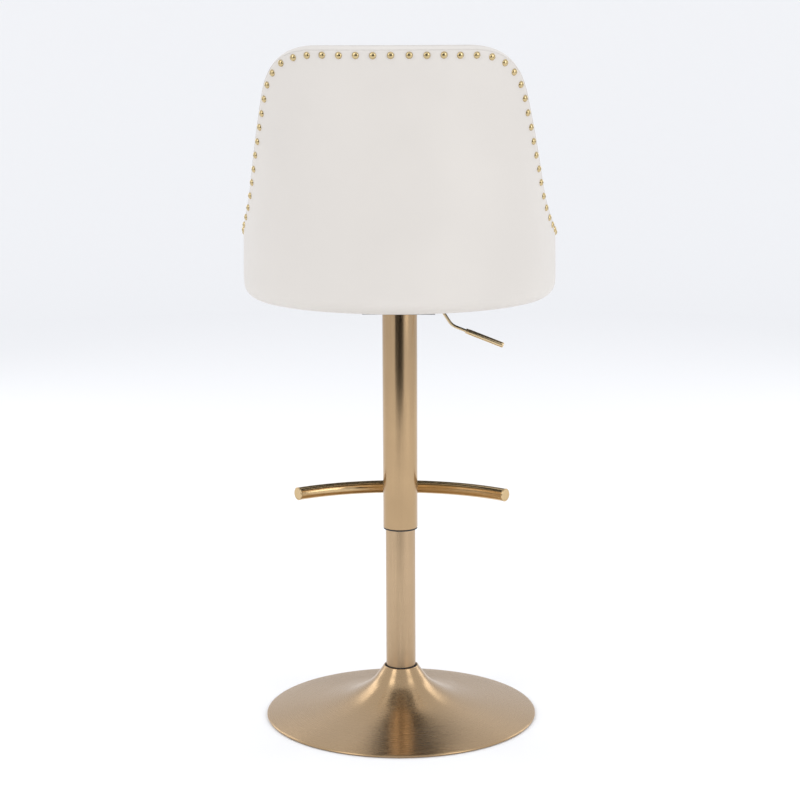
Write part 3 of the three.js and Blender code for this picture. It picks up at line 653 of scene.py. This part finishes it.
def build_back_pad():
    """The inner cover: padded and quilted inside, folded over the rim to the seam outside."""
    foot = DECK + MM
    line = rim[(rim[:, 1] >= foot)]
    border = np.concatenate([line, bottom_line(line[0, 0], line[-1, 0], foot, 6 * MM)])
    depths = rim_roll(9, INNER_ROLL) + [28 * MM, 32 * MM, 36 * MM, 38 * MM, 40 * MM, 42 * MM, 45 * MM]
    loops = [moved[moved[:, 1] > foot + 0.5 * MM] for moved in (rim_offset(d) for d in depths)]
    cells = np.arange(-120, 121) / QUILT_CELLS
    one, other = np.meshgrid(cells, cells)
    across = (one + other) / 2 * QUILT_WIDTH
    up = (one - other) / 2 * QUILT_HEIGHT
    lattice = np.stack([across.ravel(), BACK_TOP + up.ravel()], axis=1)
    span = ARM_END * RIM_RADIUS
    keep = (np.abs(lattice[:, 0]) < span) & (lattice[:, 1] > foot + 3 * MM) & (lattice[:, 1] < BACK_TOP)
    lattice = lattice[keep]
    lattice = lattice[below_rim(lattice)]
    lattice = lattice[distance_from(lattice, rim) > depths[-1] + 1.5 * MM]
    flat, faces = filled(border, loops, lattice)
    inside = wall_points(flat, pad_inset(flat))

    strips = [rim_offset(0)]
    insets = [np.full(len(rim), CREST)]
    for depth in rim_roll(9, OUTER_ROLL):
        if depth < SEAM - 0.6 * MM:
            strips.append(rim_offset(depth))
            share = (OUTER_ROLL - depth) / OUTER_ROLL
            insets.append(np.full(len(rim), CREST * (1 - math.sqrt(1 - share**2))))
    strips.append(rim_offset(SEAM - 0.2 * MM))
    insets.append(np.full(len(rim), SEAM_DEPTH * 0.6))
    strips.append(rim_offset(SEAM + 0.8 * MM))
    insets.append(np.full(len(rim), SEAM_DEPTH * 1.4))
    outside = np.concatenate([wall_points(strip, inset) for strip, inset in zip(strips, insets)])
    outside_faces = grid_faces(len(strips), len(rim))
    points, all_faces = merged([(list(inside), faces), (list(outside), outside_faces)])
    piece = make_mesh("back_padding", points, all_faces, sharp=180)
    face_out(piece, join=0.25 * MM)
    settle(piece, "carriage", "padding", leather, "back_pad")
    return piece


def build_shell():
    """The plywood the wall is built on, under both covers."""
    edge = rim_offset(12 * MM)
    edge = edge[edge[:, 1] > DECK]
    border = np.concatenate([edge, bottom_line(edge[0, 0], edge[-1, 0], DECK, 12 * MM)])
    step = 14 * MM
    columns = np.arange(border[:, 0].min() + step, border[:, 0].max() - step / 2, step)
    lattice = np.array([(s, z) for z in np.arange(DECK + step, BACK_TOP, step) for s in columns])
    lattice = lattice[below_rim(lattice)]
    lattice = lattice[distance_from(lattice, rim) > 12 * MM + step / 2]
    flat, faces = filled(border, [], lattice)
    front, back = (wall_points(flat, np.full(len(flat), depth)) for depth in (14 * MM, 5 * MM))
    count = len(flat)
    sides = [(i, (i + 1) % len(border), (i + 1) % len(border) + count, i + count) for i in range(len(border))]
    points = list(front) + list(back)
    faces = faces + [tuple(v + count for v in reversed(face)) for face in faces] + sides
    piece = make_mesh("back_plywood_shell", points, faces, sharp=40)
    face_out(piece)
    return settle(piece, "carriage", "wood", wood, "back_shell")


def stitch(start, end, normal, radius=0.55 * MM):
    """One thread stitch: a short bead that dips into the leather at both ends."""
    along = end - start
    path = []
    for k in range(5):
        t = k / 4
        lift = radius * 1.1 * math.sin(math.pi * t) - radius * 0.4
        path.append(start + along * t + normal * lift)
    return swept(path, lambda t: radius * (0.55 + 0.45 * math.sin(math.pi * t)), 6)


def stitched_line(places, normals, pitch=5 * MM, fill=0.72):
    """Stitches along a row of 3-D points with their surface normals."""
    places, normals = np.array(places), np.array(normals)
    lengths = np.r_[0, np.cumsum(np.linalg.norm(np.diff(places, axis=0), axis=1))]
    parts = []
    for k in range(int(lengths[-1] / pitch)):
        ends = [k * pitch, (k + fill) * pitch]
        a, b = (Vector([np.interp(e, lengths, places[:, axis]) for axis in range(3)]) for e in ends)
        n = Vector([np.interp(ends[0], lengths, normals[:, axis]) for axis in range(3)])
        parts.append(stitch(a, b, n.normalized()))
    return parts


def pad_surface(flat):
    """Places and inward normals of flat points on the padded inside."""
    angles = flat[:, 0] / RIM_RADIUS
    normals = np.stack([-np.sin(angles), -np.cos(angles), np.zeros(len(flat))], axis=1)
    return wall_points(flat, pad_inset(flat)), normals


def build_quilt_stitches():
    """Thread along each diagonal seam and round the quilting's border."""
    parts = []
    reach = np.arange(-0.6, 0.6, 4 * MM)
    for slope in (1, -1):
        for k in range(-14, 15):
            z = BACK_TOP + slope * (k - reach / QUILT_WIDTH) * QUILT_HEIGHT
            flat = np.stack([reach, z], axis=1)
            flat = flat[(z > QUILT_FOOT + 2 * MM) & (z < BACK_TOP)]
            if len(flat):
                flat = flat[below_rim(flat)]
            if len(flat):
                flat = flat[distance_from(flat, rim) > QUILT_BORDER + 1 * MM]
            if len(flat) > 3:
                parts.extend(stitched_line(*pad_surface(flat)))
    border = rim_offset(QUILT_BORDER)
    border = border[border[:, 1] > QUILT_FOOT]
    parts.extend(stitched_line(*pad_surface(border)))
    foot = np.stack([np.linspace(border[0, 0], border[-1, 0], 240), np.full(240, QUILT_FOOT)], axis=1)
    parts.extend(stitched_line(*pad_surface(foot)))
    piece = make_mesh("quilt_stitches", *merged(parts))
    return settle(piece, "carriage", "padding", thread)


# ================= Seat cushion, apron and backing cloth =================
STAPLES = 48
CUSHION_REAR = TUB_RADIUS - WALL + 2.5 * MM
ARM_CORNER = 16 * MM  # length over which the cushion widens past the end of an arm
CUSHION_SIDE_TOP = cushion_high.z - 20 * MM


def cushion_edge(angle):
    """Plan radius at an angle from the back: it follows the arms inside and their rounded ends."""
    from_back = abs((angle + math.pi) % math.tau - math.pi)
    from_end = (ARM_END - from_back) * RIM_RADIUS
    if from_end < 0:
        return TUB_RADIUS - CREST * (1 - float(smoothstep(-from_end, 0, ARM_CORNER)))
    roll = max(INNER_ROLL - from_end, 0) / INNER_ROLL
    depth = CREST + (TUB_RADIUS - CUSHION_REAR - CREST) * math.sqrt(1 - roll**2)
    return TUB_RADIUS - depth


def polar(angle, radius, height):
    return Vector((radius * math.sin(angle), TUB_Y + radius * math.cos(angle), height))


def cushion_blank():
    """The cushion before it is blown up, a little smaller than it ends."""
    shrink = 4 * MM
    top = cushion_high.z - 7 * MM
    foot = DECK + 2 * MM
    columns = 240
    parts = [polar(0, 0, foot), polar(0, 0, top)]
    faces = []
    for i in range(columns):
        angle = math.tau * i / columns
        edge = cushion_edge(angle) - shrink
        profile = [
            (edge * 0.5, foot),
            (edge - 6 * MM, foot),
            (edge, foot + 3 * MM),
            (edge, foot + 14 * MM),
            (edge, CUSHION_SIDE_TOP - 8 * MM),
            (edge - 3 * MM, CUSHION_SIDE_TOP),
            (edge - 14 * MM, top - 8 * MM),
            (CUSHION_REAR * 0.75, top - 3 * MM),
            (CUSHION_REAR * 0.4, top),
        ]
        rows = len(profile)
        parts.extend(polar(angle, radius, height) for radius, height in profile)
    for i in range(columns):
        here, after = 2 + i * rows, 2 + ((i + 1) % columns) * rows
        faces.append((0, after, here))
        faces.append((1, here + rows - 1, after + rows - 1))
        for j in range(rows - 1):
            faces.append((here + j, after + j, after + j + 1, here + j + 1))
    piece = make_mesh("seat_cushion_soft", parts, faces, sharp=180)
    face_out(piece)
    return piece


def apply_modifiers(piece):
    graph = bpy.context.evaluated_depsgraph_get()
    mesh = bpy.data.meshes.new_from_object(piece.evaluated_get(graph))
    piece.modifiers.clear()
    old, piece.data = piece.data, mesh
    bpy.data.meshes.remove(old)


def blow_up(piece, voxel, pressure, most):
    """Inflates a closed piece as cloth, and lets no point move by more than `most`."""
    remesh = piece.modifiers.new("remesh", "REMESH")
    remesh.mode = "VOXEL"
    remesh.voxel_size = voxel
    apply_modifiers(piece)
    start = np.empty(len(piece.data.vertices) * 3)
    piece.data.vertices.foreach_get("co", start)
    cloth = piece.modifiers.new("cloth", "CLOTH")
    cloth.settings.quality = 5
    cloth.settings.mass = 0.3
    cloth.settings.tension_stiffness = 12
    cloth.settings.compression_stiffness = 12
    cloth.settings.bending_stiffness = 0.6
    cloth.settings.use_pressure = True
    cloth.settings.uniform_pressure_force = pressure
    cloth.settings.effector_weights.gravity = 0
    cloth.point_cache.frame_start = 1
    cloth.point_cache.frame_end = 20
    for step in range(1, 21):
        bpy.context.scene.frame_set(step)
    apply_modifiers(piece)
    bpy.context.scene.frame_set(1)
    end = np.empty_like(start)
    piece.data.vertices.foreach_get("co", end)
    move = (end - start).reshape(-1, 3)
    length = np.linalg.norm(move, axis=1)
    move *= (most * np.tanh(length / most) / np.maximum(length, 1e-9))[:, None]
    piece.data.vertices.foreach_set("co", (start.reshape(-1, 3) + move).ravel())
    piece.data.update()


def welt_path(tree, height, grow=0.0, count=360):
    """A closed line round the cushion at a height, on its surface."""
    path = []
    for i in range(count):
        angle = math.tau * i / count
        outside = polar(angle, TUB_RADIUS + 60 * MM, height)
        inward = (polar(angle, 0, height) - outside).normalized()
        hit = tree.ray_cast(outside, inward)[0]
        path.append((hit if hit else polar(angle, cushion_edge(angle), height)) - inward * grow)
    for _ in range(3):
        path = [(path[i - 1] + path[i] * 2 + path[(i + 1) % count]) / 4 for i in range(count)]
    return path


def build_cushion():
    piece = cushion_blank()
    blow_up(piece, 5 * MM, 4.0, 7 * MM)
    limit = cushion_high.z + 4 * MM
    for vertex in piece.data.vertices:
        vertex.co.z = max(min(vertex.co.z, limit), DECK + 1.5 * MM)
    smooth = piece.modifiers.new("smooth", "SMOOTH")
    smooth.iterations = 3
    subdivide = piece.modifiers.new("subdivide", "SUBSURF")
    subdivide.levels = subdivide.render_levels = 1
    apply_modifiers(piece)
    piece.data.polygons.foreach_set("use_smooth", [True] * len(piece.data.polygons))
    settle(piece, "carriage", "padding", leather, "seat_cushion")
    places = [v.co for v in piece.data.vertices]
    tree = BVHTree.FromPolygons(places, [p.vertices for p in piece.data.polygons])
    welts = []
    for height in (CUSHION_SIDE_TOP - 2 * MM, DECK + 7 * MM):
        welts.append(swept(welt_path(tree, height, 0.6 * MM), lambda t: 2.6 * MM, 12, closed=True))
    welt = make_mesh("cushion_welts", *merged(welts))
    settle(welt, "carriage", "padding", leather)
    return piece


def build_apron():
    """The padded band that closes the front of the tub under the cushion."""
    start = ARM_END * RIM_RADIUS + 0.3 * MM
    end = math.tau * RIM_RADIUS - start
    high = DECK + 1 * MM
    columns, rows = 150, 30
    s, z = np.meshgrid(np.linspace(start, end, columns), np.linspace(HEM_LEVEL, high, rows))
    flat = np.stack([s.ravel(), z.ravel()], axis=1)
    from_end = np.minimum(flat[:, 0] - start, end - flat[:, 0])
    tuck = 2 * MM * np.exp(-from_end / (1.8 * MM))
    swell = 1.5 * MM * smoothstep(flat[:, 1], TUB_BOTTOM, TUB_BOTTOM + TUB_EDGE)
    swell = swell * smoothstep(high - flat[:, 1], 0, 14 * MM)
    top_tuck = 3 * MM * np.exp(-(high - flat[:, 1]) / (2.5 * MM))
    outside = wall_points(flat, tuck + top_tuck - swell)
    folds = []
    for depth, lift in ((5 * MM, 1.2 * MM), (9 * MM, 1.8 * MM), (20 * MM, 1.8 * MM), (46 * MM, 1.6 * MM)):
        fold = np.stack([np.linspace(start, end, columns), np.full(columns, high)], axis=1)
        folds.append(wall_points(fold, np.full(columns, depth)) + (0, 0, lift))
    points = np.concatenate([outside, *folds])
    faces = grid_faces(rows + len(folds), columns)
    piece = make_mesh("front_apron_cover", points, faces, sharp=80)
    settle(piece, "carriage", "leather", leather, "front_apron")
    return piece


def build_dust_cover():
    """Backing cloth stretched under the seat and stapled round its edge."""
    low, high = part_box("dust_cover")
    radius = (high.x - low.x) / 2
    level = (low.z + high.z) / 2
    rings, columns = 26, 160
    points = [Vector((0, TUB_Y, level))]
    rng = random.Random(SEED)
    waves = [(rng.randint(5, 19), rng.uniform(0, math.tau)) for _ in range(5)]
    for ring in range(1, rings + 1):
        share = ring / rings
        for i in range(columns):
            angle = math.tau * i / columns
            ripple = sum(math.sin(count * angle + phase) for count, phase in waves) / 5
            sag = 0.35 * MM * ripple * share**6
            points.append(polar(angle, radius * share, level + sag))
    faces = [(0, 1 + i, 1 + (i + 1) % columns) for i in range(columns)]
    for ring in range(rings - 1):
        for i in range(columns):
            a, b = 1 + ring * columns + i, 1 + ring * columns + (i + 1) % columns
            faces.append((a, a + columns, b + columns, b))
    piece = make_mesh("dust_cover_cloth", points, faces, sharp=180)
    settle(piece, "carriage", "dust_cloth", felt, "dust_cover")
    parts = []
    for i in range(STAPLES):
        angle = math.tau * i / STAPLES + rng.uniform(-0.02, 0.02)
        centre = polar(angle, radius - 7 * MM, level - 0.7 * MM)
        along = Vector((math.cos(angle), -math.sin(angle), 0)) * 5 * MM
        up = Vector((0, 0, 1.2 * MM))
        legs = [centre - along + up, centre - along, centre + along, centre + along + up]
        parts.append(swept(legs, lambda t: 0.5 * MM, 6))
    staples = make_mesh("dust_cover_staples", *merged(parts))
    settle(staples, "carriage", "steel", steel)


# ================= Metalwork =================
def smooth_curve(points, count):
    """A smooth line through (radius, height) points."""
    knots = [Vector(p) for p in points]
    padded_knots = [knots[0] * 2 - knots[1], *knots, knots[-1] * 2 - knots[-2]]
    line = []
    for i in range(1, len(padded_knots) - 2):
        p0, p1, p2, p3 = padded_knots[i - 1 : i + 3]
        for k in range(count):
            t = k / count
            line.append(tuple(0.5 * (p1 * 2 + (p2 - p0) * t + (p0 * 2 - p1 * 5 + p2 * 4 - p3) * t**2
                                     + (p1 * 3 - p0 - p2 * 3 + p3) * t**3)))
    line.append(tuple(knots[-1]))
    return line


def in_mm(outline):
    """An outline given in millimetres, in metres."""
    return [(r * MM, z * MM) for r, z in outline]


# Radius and height of the trumpet's upper face, in millimetres.
BASE_OUTLINE = [
    (229, 4), (205, 9), (170, 15), (130, 22), (95, 31),
    (70, 43), (50, 57), (38.5, 71.5), (33, 79),
]  # fmt: skip
BASE_LIP = [(-3.4, 0.2), (-2, 0), (-0.7, 0.2), (0, 1.3), (-0.1, 2.2)]  # from the rim's edge, in millimetres
BASE_MOUTH = 28.3 * MM
BASE_SHEET = 1.5 * MM
TUBE_WALL = 1.5 * MM


def build_base():
    """The spun trumpet, rolled over at its mouth and turned in at its rim."""
    low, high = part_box("base_shell")
    radius = high.x
    top = high.z
    outline = in_mm(BASE_OUTLINE) + [(BASE_MOUTH + BASE_SHEET, top - 1.2 * MM)]
    outer = smooth_curve(outline, 7)
    mouth = []
    for k in range(1, 9):
        angle = math.radians(20 + 170 * k / 8)
        roll = top - BASE_SHEET + BASE_SHEET * math.sin(angle)
        mouth.append((BASE_MOUTH + BASE_SHEET * math.cos(angle), roll))
    inner = []
    for i in range(0, len(outer), 3):
        before, after = Vector(outer[max(i - 1, 0)]), Vector(outer[min(i + 1, len(outer) - 1)])
        along = (after - before).normalized()
        inner.append(tuple(Vector(outer[i]) - Vector((along.y, -along.x)) * BASE_SHEET))
    lip = [(radius + r, low.z + z) for r, z in in_mm(BASE_LIP)]
    profile = lip + outer + mouth + inner[::-1]
    piece = make_mesh("base_trumpet", *turned(profile, 256), sharp=60)
    settle(piece, "base", "gold_metal", spun_gold, "base_shell")


def ring_outline(inner, outer, low, high):
    """The (radius, height) section of a tube or ring."""
    return [(inner, low), (outer, low), (outer, high), (inner, high)]


def build_column():
    """The lower tube and the sleeve over it, the collar at the tube's foot and the glide in the sleeve."""
    sections = {}
    walls = {"lower_column": TUBE_WALL, "column_sleeve": TUBE_WALL, "column_collar": 1.4 * MM}
    for node, wall in walls.items():
        low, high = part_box(node)
        sections[node] = ring_outline(high.x - wall, high.x, low.z, high.z)
    low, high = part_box("sleeve_glide")
    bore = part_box("lower_column")[1].x + 0.3 * MM
    body_radius = high.x - 1.4 * MM
    shelf = low.z + 2.2 * MM
    flange = [(bore, low.z), (high.x, low.z), (high.x, shelf), (body_radius, shelf)]
    sections["sleeve_glide"] = [*flange, (body_radius, high.z), (bore, high.z)]
    for node, ending, body, slot, material, lip, sides, sharp in (
        ("lower_column", "_tube", "base", "pale_gold_metal", pale_gold, 0.5, 128, 50),
        ("column_sleeve", "_tube", "carriage", "gold_metal", column_gold, 0.9, 128, 50),
        ("column_collar", "_ring", "base", "rubber", rubber, 0.6, 96, 35),
        ("sleeve_glide", "_ring", "carriage", "plastic", plastic, 0.5, 96, 35),
    ):
        outline = rounded(sections[node], lip * MM)
        piece = make_mesh(node + ending, *turned(outline, sides), sharp=sharp)
        settle(piece, body, slot, material, node)


FOOTREST_BEND = 287 * MM  # radius of the bar's bend, to its middle line
FOOTREST_HALF = 178 * MM  # half the bar's width
CAP_LENGTH = 3 * MM
STUB_RADIUS = 10 * MM

# Radius and distance from the bar's end of a cap's turned outline, in millimetres.
CAP_OUTLINE = [
    (0, -6), (8.8, -6), (8.8, 0.25), (10.8, 0.25), (11.15, 0.7), (11.15, 1.9),
    (10.6, 2.6), (9.6, 3.0), (8.6, 2.75), (7.6, 2.6), (0, 2.9),
]  # fmt: skip


def footrest_arc(angle, centre_y, height):
    """Place on the bar's middle line, at an angle from its middle."""
    return Vector((FOOTREST_BEND * math.sin(angle), centre_y - FOOTREST_BEND * math.cos(angle), height))


def build_footrest():
    """The curved bar, its turned end caps, and the stub that is welded to the bar and the sleeve."""
    bar_low, bar_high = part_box("footrest_bar")
    radius = (bar_high.z - bar_low.z) / 2
    height = (bar_high.z + bar_low.z) / 2
    reach = bar_low.y + radius
    centre_y = reach + FOOTREST_BEND
    end_angle = math.asin(FOOTREST_HALF / FOOTREST_BEND) - CAP_LENGTH / FOOTREST_BEND
    steps = 96
    path = [footrest_arc(end_angle * (2 * k / steps - 1), centre_y, height) for k in range(steps + 1)]
    bar = make_mesh("footrest_tube", *swept(path, lambda t: radius, 48), sharp=50)
    settle(bar, "carriage", "footrest_gold", bright_gold, "footrest_bar")
    for side, node in ((-1, "footrest_cap_right"), (1, "footrest_cap_left")):
        angle = side * end_angle
        outward = Vector((math.cos(angle), math.sin(angle), 0)) * side
        place = standing_at(footrest_arc(angle, centre_y, height), outward)
        piece = make_mesh(node + "_turned", *placed(turned(in_mm(CAP_OUTLINE), 64), place), sharp=40)
        settle(piece, "carriage", "footrest_gold", bright_gold, node)
    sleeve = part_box("column_sleeve")[1].x
    inner_y, outer_y = -sleeve + 2 * MM, reach + radius - 4 * MM
    path = [Vector((0, inner_y + (outer_y - inner_y) * k / 12, height)) for k in range(13)]

    def sleeve_side(x, z):
        return -math.sqrt((sleeve + 0.6 * MM) ** 2 - x * x)

    def bar_side(x, z):
        across = math.sqrt(max(radius**2 - (z - height) ** 2, 0))
        return centre_y - math.sqrt((FOOTREST_BEND - across) ** 2 - x * x) + 0.4 * MM

    parts = [
        swept(path, lambda t: STUB_RADIUS, 40),
        weld_ring(height, sleeve_side, 1, SEED),
        weld_ring(height, bar_side, 0.96, SEED + 1),
    ]
    piece = make_mesh("footrest_stub_welded", *merged(parts), sharp=50)
    settle(piece, "carriage", "footrest_gold", bright_gold, "footrest_stub")


def weld_ring(height, side_y, squash, seed):
    """A rippled bead of weld round the stub, where it meets the face whose depth is side_y(x, z)."""
    rng = random.Random(seed)
    count = 60
    path = []
    for i in range(count):
        angle = math.tau * i / count
        x, z = STUB_RADIUS * math.cos(angle), height + STUB_RADIUS * math.sin(angle) * squash
        path.append(Vector((x, side_y(x, z), z)))
    ripples = [1 + 0.1 * math.sin(i * 1.9) + rng.uniform(-0.05, 0.05) for i in range(count + 1)]
    return swept(path, lambda t: 2.3 * MM * ripples[round(t * (count - 1))], 10, closed=True)


def bent(points, eases, count=10):
    """A line through points with its corners rounded."""
    line = [points[0]]
    for i in range(1, len(points) - 1):
        here = points[i]
        entry = here + (points[i - 1] - here).normalized() * eases[i - 1]
        leave = here + (points[i + 1] - here).normalized() * eases[i - 1]
        line.extend(corner(entry, here, leave, count))
    line.append(points[-1])
    return line


LEVER_ROD_RADIUS = 2.5 * MM
LEVER_PIVOT = -24 * MM  # distance of the lever's pin from the column's axis, towards the grip
GRIP_LENGTH = 67  # in millimetres, as the outlines are
BOSS_OUTLINE = [(2.3, -4.5), (5.2, -4.5), (5.5, -4.1), (5.5, 4.1), (5.2, 4.5), (2.3, 4.5)]
GRIP_OUTLINE = [
    (0, 60), (2.8, 60), (2.8, 0.2), (3.5, 0), (4.1, 0.3), (4.3, 1.2), (4.3, 3.0), (3.9, 3.4),
    (3.9, 4.2), (4.5, 4.7), (4.5, GRIP_LENGTH - 5), (4.5, GRIP_LENGTH - 2),
    (4.1, GRIP_LENGTH - 0.6), (3.2, GRIP_LENGTH), (0, GRIP_LENGTH + 0.1),
]  # fmt: skip


def build_lever():
    """The bent rod with its pivot boss, and the turned grip with a grooved end."""
    level = plate_high.z - 10.2 * MM
    inner = Vector((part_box("lever_rod")[1].x, 0, level))
    knee = Vector((-62 * MM, 0, level))
    bend = Vector((-87 * MM, 0, level - 38 * MM))
    grip_start = Vector((-110 * MM, 0, level - 47 * MM))
    outward = (grip_start - bend).normalized()
    tip = grip_start + outward * 62 * MM
    path = bent([inner, knee, bend, tip], [9 * MM, 8 * MM])
    dense = [path[0] + (path[1] - path[0]) * k / 8 for k in range(8)] + path[1:]
    across = Matrix.Translation((LEVER_PIVOT, 0, level)) @ Matrix.Rotation(math.pi / 2, 4, "X")
    boss = placed(turned(in_mm(BOSS_OUTLINE), 40), across)
    parts = [swept(dense, lambda t: LEVER_ROD_RADIUS, 20), boss]
    rod = make_mesh("lever_bent_rod", *merged(parts), sharp=40)
    settle(rod, "lever", "footrest_gold", lever_gold, "lever_rod")
    part = placed(turned(in_mm(GRIP_OUTLINE), 48), standing_at(grip_start, outward))
    grip = make_mesh("lever_turned_grip", *part, sharp=40)
    settle(grip, "lever", "footrest_gold", lever_gold, "lever_grip")


def dress_frame():
    """Gives every CAD node that stays in view its slot's material, and eases the edges of the metal ones."""
    slots = {row["node"]: row["material_slot"] for row in frame["record"]["subparts"]}
    for name, node in frame["nodes"].items():
        node.data.materials.clear()
        node.data.materials.append(SLOT_MATERIALS[slots[name]])
        if slots[name] in ("steel", "wood") and not node.hide_render:
            bevel = node.modifiers.new("eased_edges", "BEVEL")
            bevel.width = 0.4 * MM
            bevel.segments = 2
            bevel.limit_method = "ANGLE"
            bevel.angle_limit = math.radians(40)
            bevel.harden_normals = False


# ================= Studio =================
CAMERA_AWAY = 3.387
CAMERA_HEIGHT = 1.172
CAMERA_AZIMUTH = math.radians(2.5)
CAMERA_PITCH = math.radians(10.48)
CAMERA_ROLL = math.radians(-0.22)
FLOOR_RADIUS = 5
COVE_RADIUS = 2
CARD_LEVEL = 4 * MM  # height of the dark card that lies on the floor

# Place, size and power of each softbox.
LIGHTS = {
    "key": ((2.6, 2.6, 2.6), (1.6, 2.4), 27),
    "fill": ((-2.8, 2.2, 1.9), (1.6, 2.4), 25),
    "top": ((0, -0.4, 3.4), (2.2, 2.2), 10),
    "front_left": ((2.4, -2.2, 1.8), (1.2, 2.0), 12),
    "front_right": ((-2.4, -2.4, 1.8), (1.2, 2.0), 12),
}
LIGHT_AIMS = {"key": 0.6, "fill": 0.6, "top": 0.5, "front_left": 0.7, "front_right": 0.7}


def build_camera():
    """Behind the stool, a little above the top of its back, looking slightly down."""
    camera = bpy.data.objects.new("camera", bpy.data.cameras.new("camera"))
    bpy.context.scene.collection.objects.link(camera)
    camera.data.lens = 92.6
    camera.data.sensor_width = 36
    ahead = Vector((math.sin(CAMERA_AZIMUTH), -math.cos(CAMERA_AZIMUTH), 0))
    camera.location = Vector((0, 0, CAMERA_HEIGHT)) - ahead * CAMERA_AWAY
    look = ahead * math.cos(CAMERA_PITCH) - Vector((0, 0, math.sin(CAMERA_PITCH)))
    turn = look.to_track_quat("-Z", "Y").to_matrix().to_4x4()
    camera.rotation_euler = (turn @ Matrix.Rotation(CAMERA_ROLL, 4, "Z")).to_euler()
    bpy.context.scene.camera = camera


def area_light(name, place, size, power):
    """A softbox that faces the stool's axis."""
    light = bpy.data.lights.new(name, "AREA")
    light.shape = "RECTANGLE"
    light.size, light.size_y = size
    light.energy = power
    lamp = bpy.data.objects.new(name, light)
    bpy.context.scene.collection.objects.link(lamp)
    lamp.location = place
    toward = Vector((0, 0, LIGHT_AIMS[name])) - Vector(place)
    lamp.rotation_euler = toward.to_track_quat("-Z", "Y").to_euler()


def build_cards():
    """Dark cards seen only in reflections. They draw the dark streaks on the column and the base."""
    floor_card = [(0, 2.85), (-1.5, 3.43), (1.5, 3.43), (-2.34, 4.1), (2.34, 4.1), (-2.34, 4.4), (2.34, 4.4)]
    card = [(x, y, CARD_LEVEL) for x, y in floor_card]
    card += [(-2.34, 4.4, 2.2), (2.34, 4.4, 2.2)]
    card += [(-0.3, -2.6, 1.5), (0.3, -2.6, 1.5), (0.3, -0.9, 2.4), (-0.3, -0.9, 2.4)]
    faces = [(0, 1, 2), (1, 3, 4, 2), (3, 5, 6, 4), (5, 7, 8, 6), (9, 10, 11, 12)]
    dark = make_mesh("studio_dark_card", card, faces)
    nodes = Nodes("studio_black")
    nodes.shade(Base_Color=(0.01, 0.01, 0.01, 1), Roughness=1)
    dark.data.materials.append(nodes.material)
    dark.visible_camera = dark.visible_diffuse = dark.visible_shadow = False


def build_studio():
    """Pale floor and cove, softboxes and an even sky."""
    world = bpy.data.worlds.new("studio")
    bpy.context.scene.world = world
    world.use_nodes = True
    background = world.node_tree.nodes["Background"]
    background.inputs["Color"].default_value = (0.93, 0.95, 1, 1)
    background.inputs["Strength"].default_value = 0.9
    paper = Nodes("studio_paper")
    paper.shade(Base_Color=(0.99, 0.985, 0.975, 1), Roughness=0.9)
    floor = make_mesh("studio_floor", *turned(ring_outline(0, FLOOR_RADIUS + 0.01, -0.01, 0), 128))
    cove_line = [(FLOOR_RADIUS, 0)]
    for k in range(1, 17):
        angle = math.pi / 2 * k / 16
        radius = FLOOR_RADIUS + COVE_RADIUS * math.sin(angle)
        cove_line.append((radius, COVE_RADIUS * (1 - math.cos(angle))))
    wall = FLOOR_RADIUS + COVE_RADIUS
    cove_line += [(wall, 9), (wall + 0.02, 9), (wall + 0.02, -0.01), (FLOOR_RADIUS, -0.01)]
    cove = make_mesh("studio_cove", *turned(cove_line, 128))
    cove.visible_diffuse = cove.visible_glossy = cove.visible_shadow = False
    for piece in (floor, cove):
        piece.data.materials.append(paper.material)
    build_cards()
    for name, (place, size, power) in LIGHTS.items():
        area_light(name, place, size, power)
    bpy.context.scene.view_settings.view_transform = "Standard"


build_camera()
build_studio()
build_outer_cover()
build_nails()
build_back_pad()
build_shell()
build_quilt_stitches()
build_cushion()
build_apron()
build_dust_cover()
build_base()
build_column()
build_footrest()
build_lever()
dress_frame()
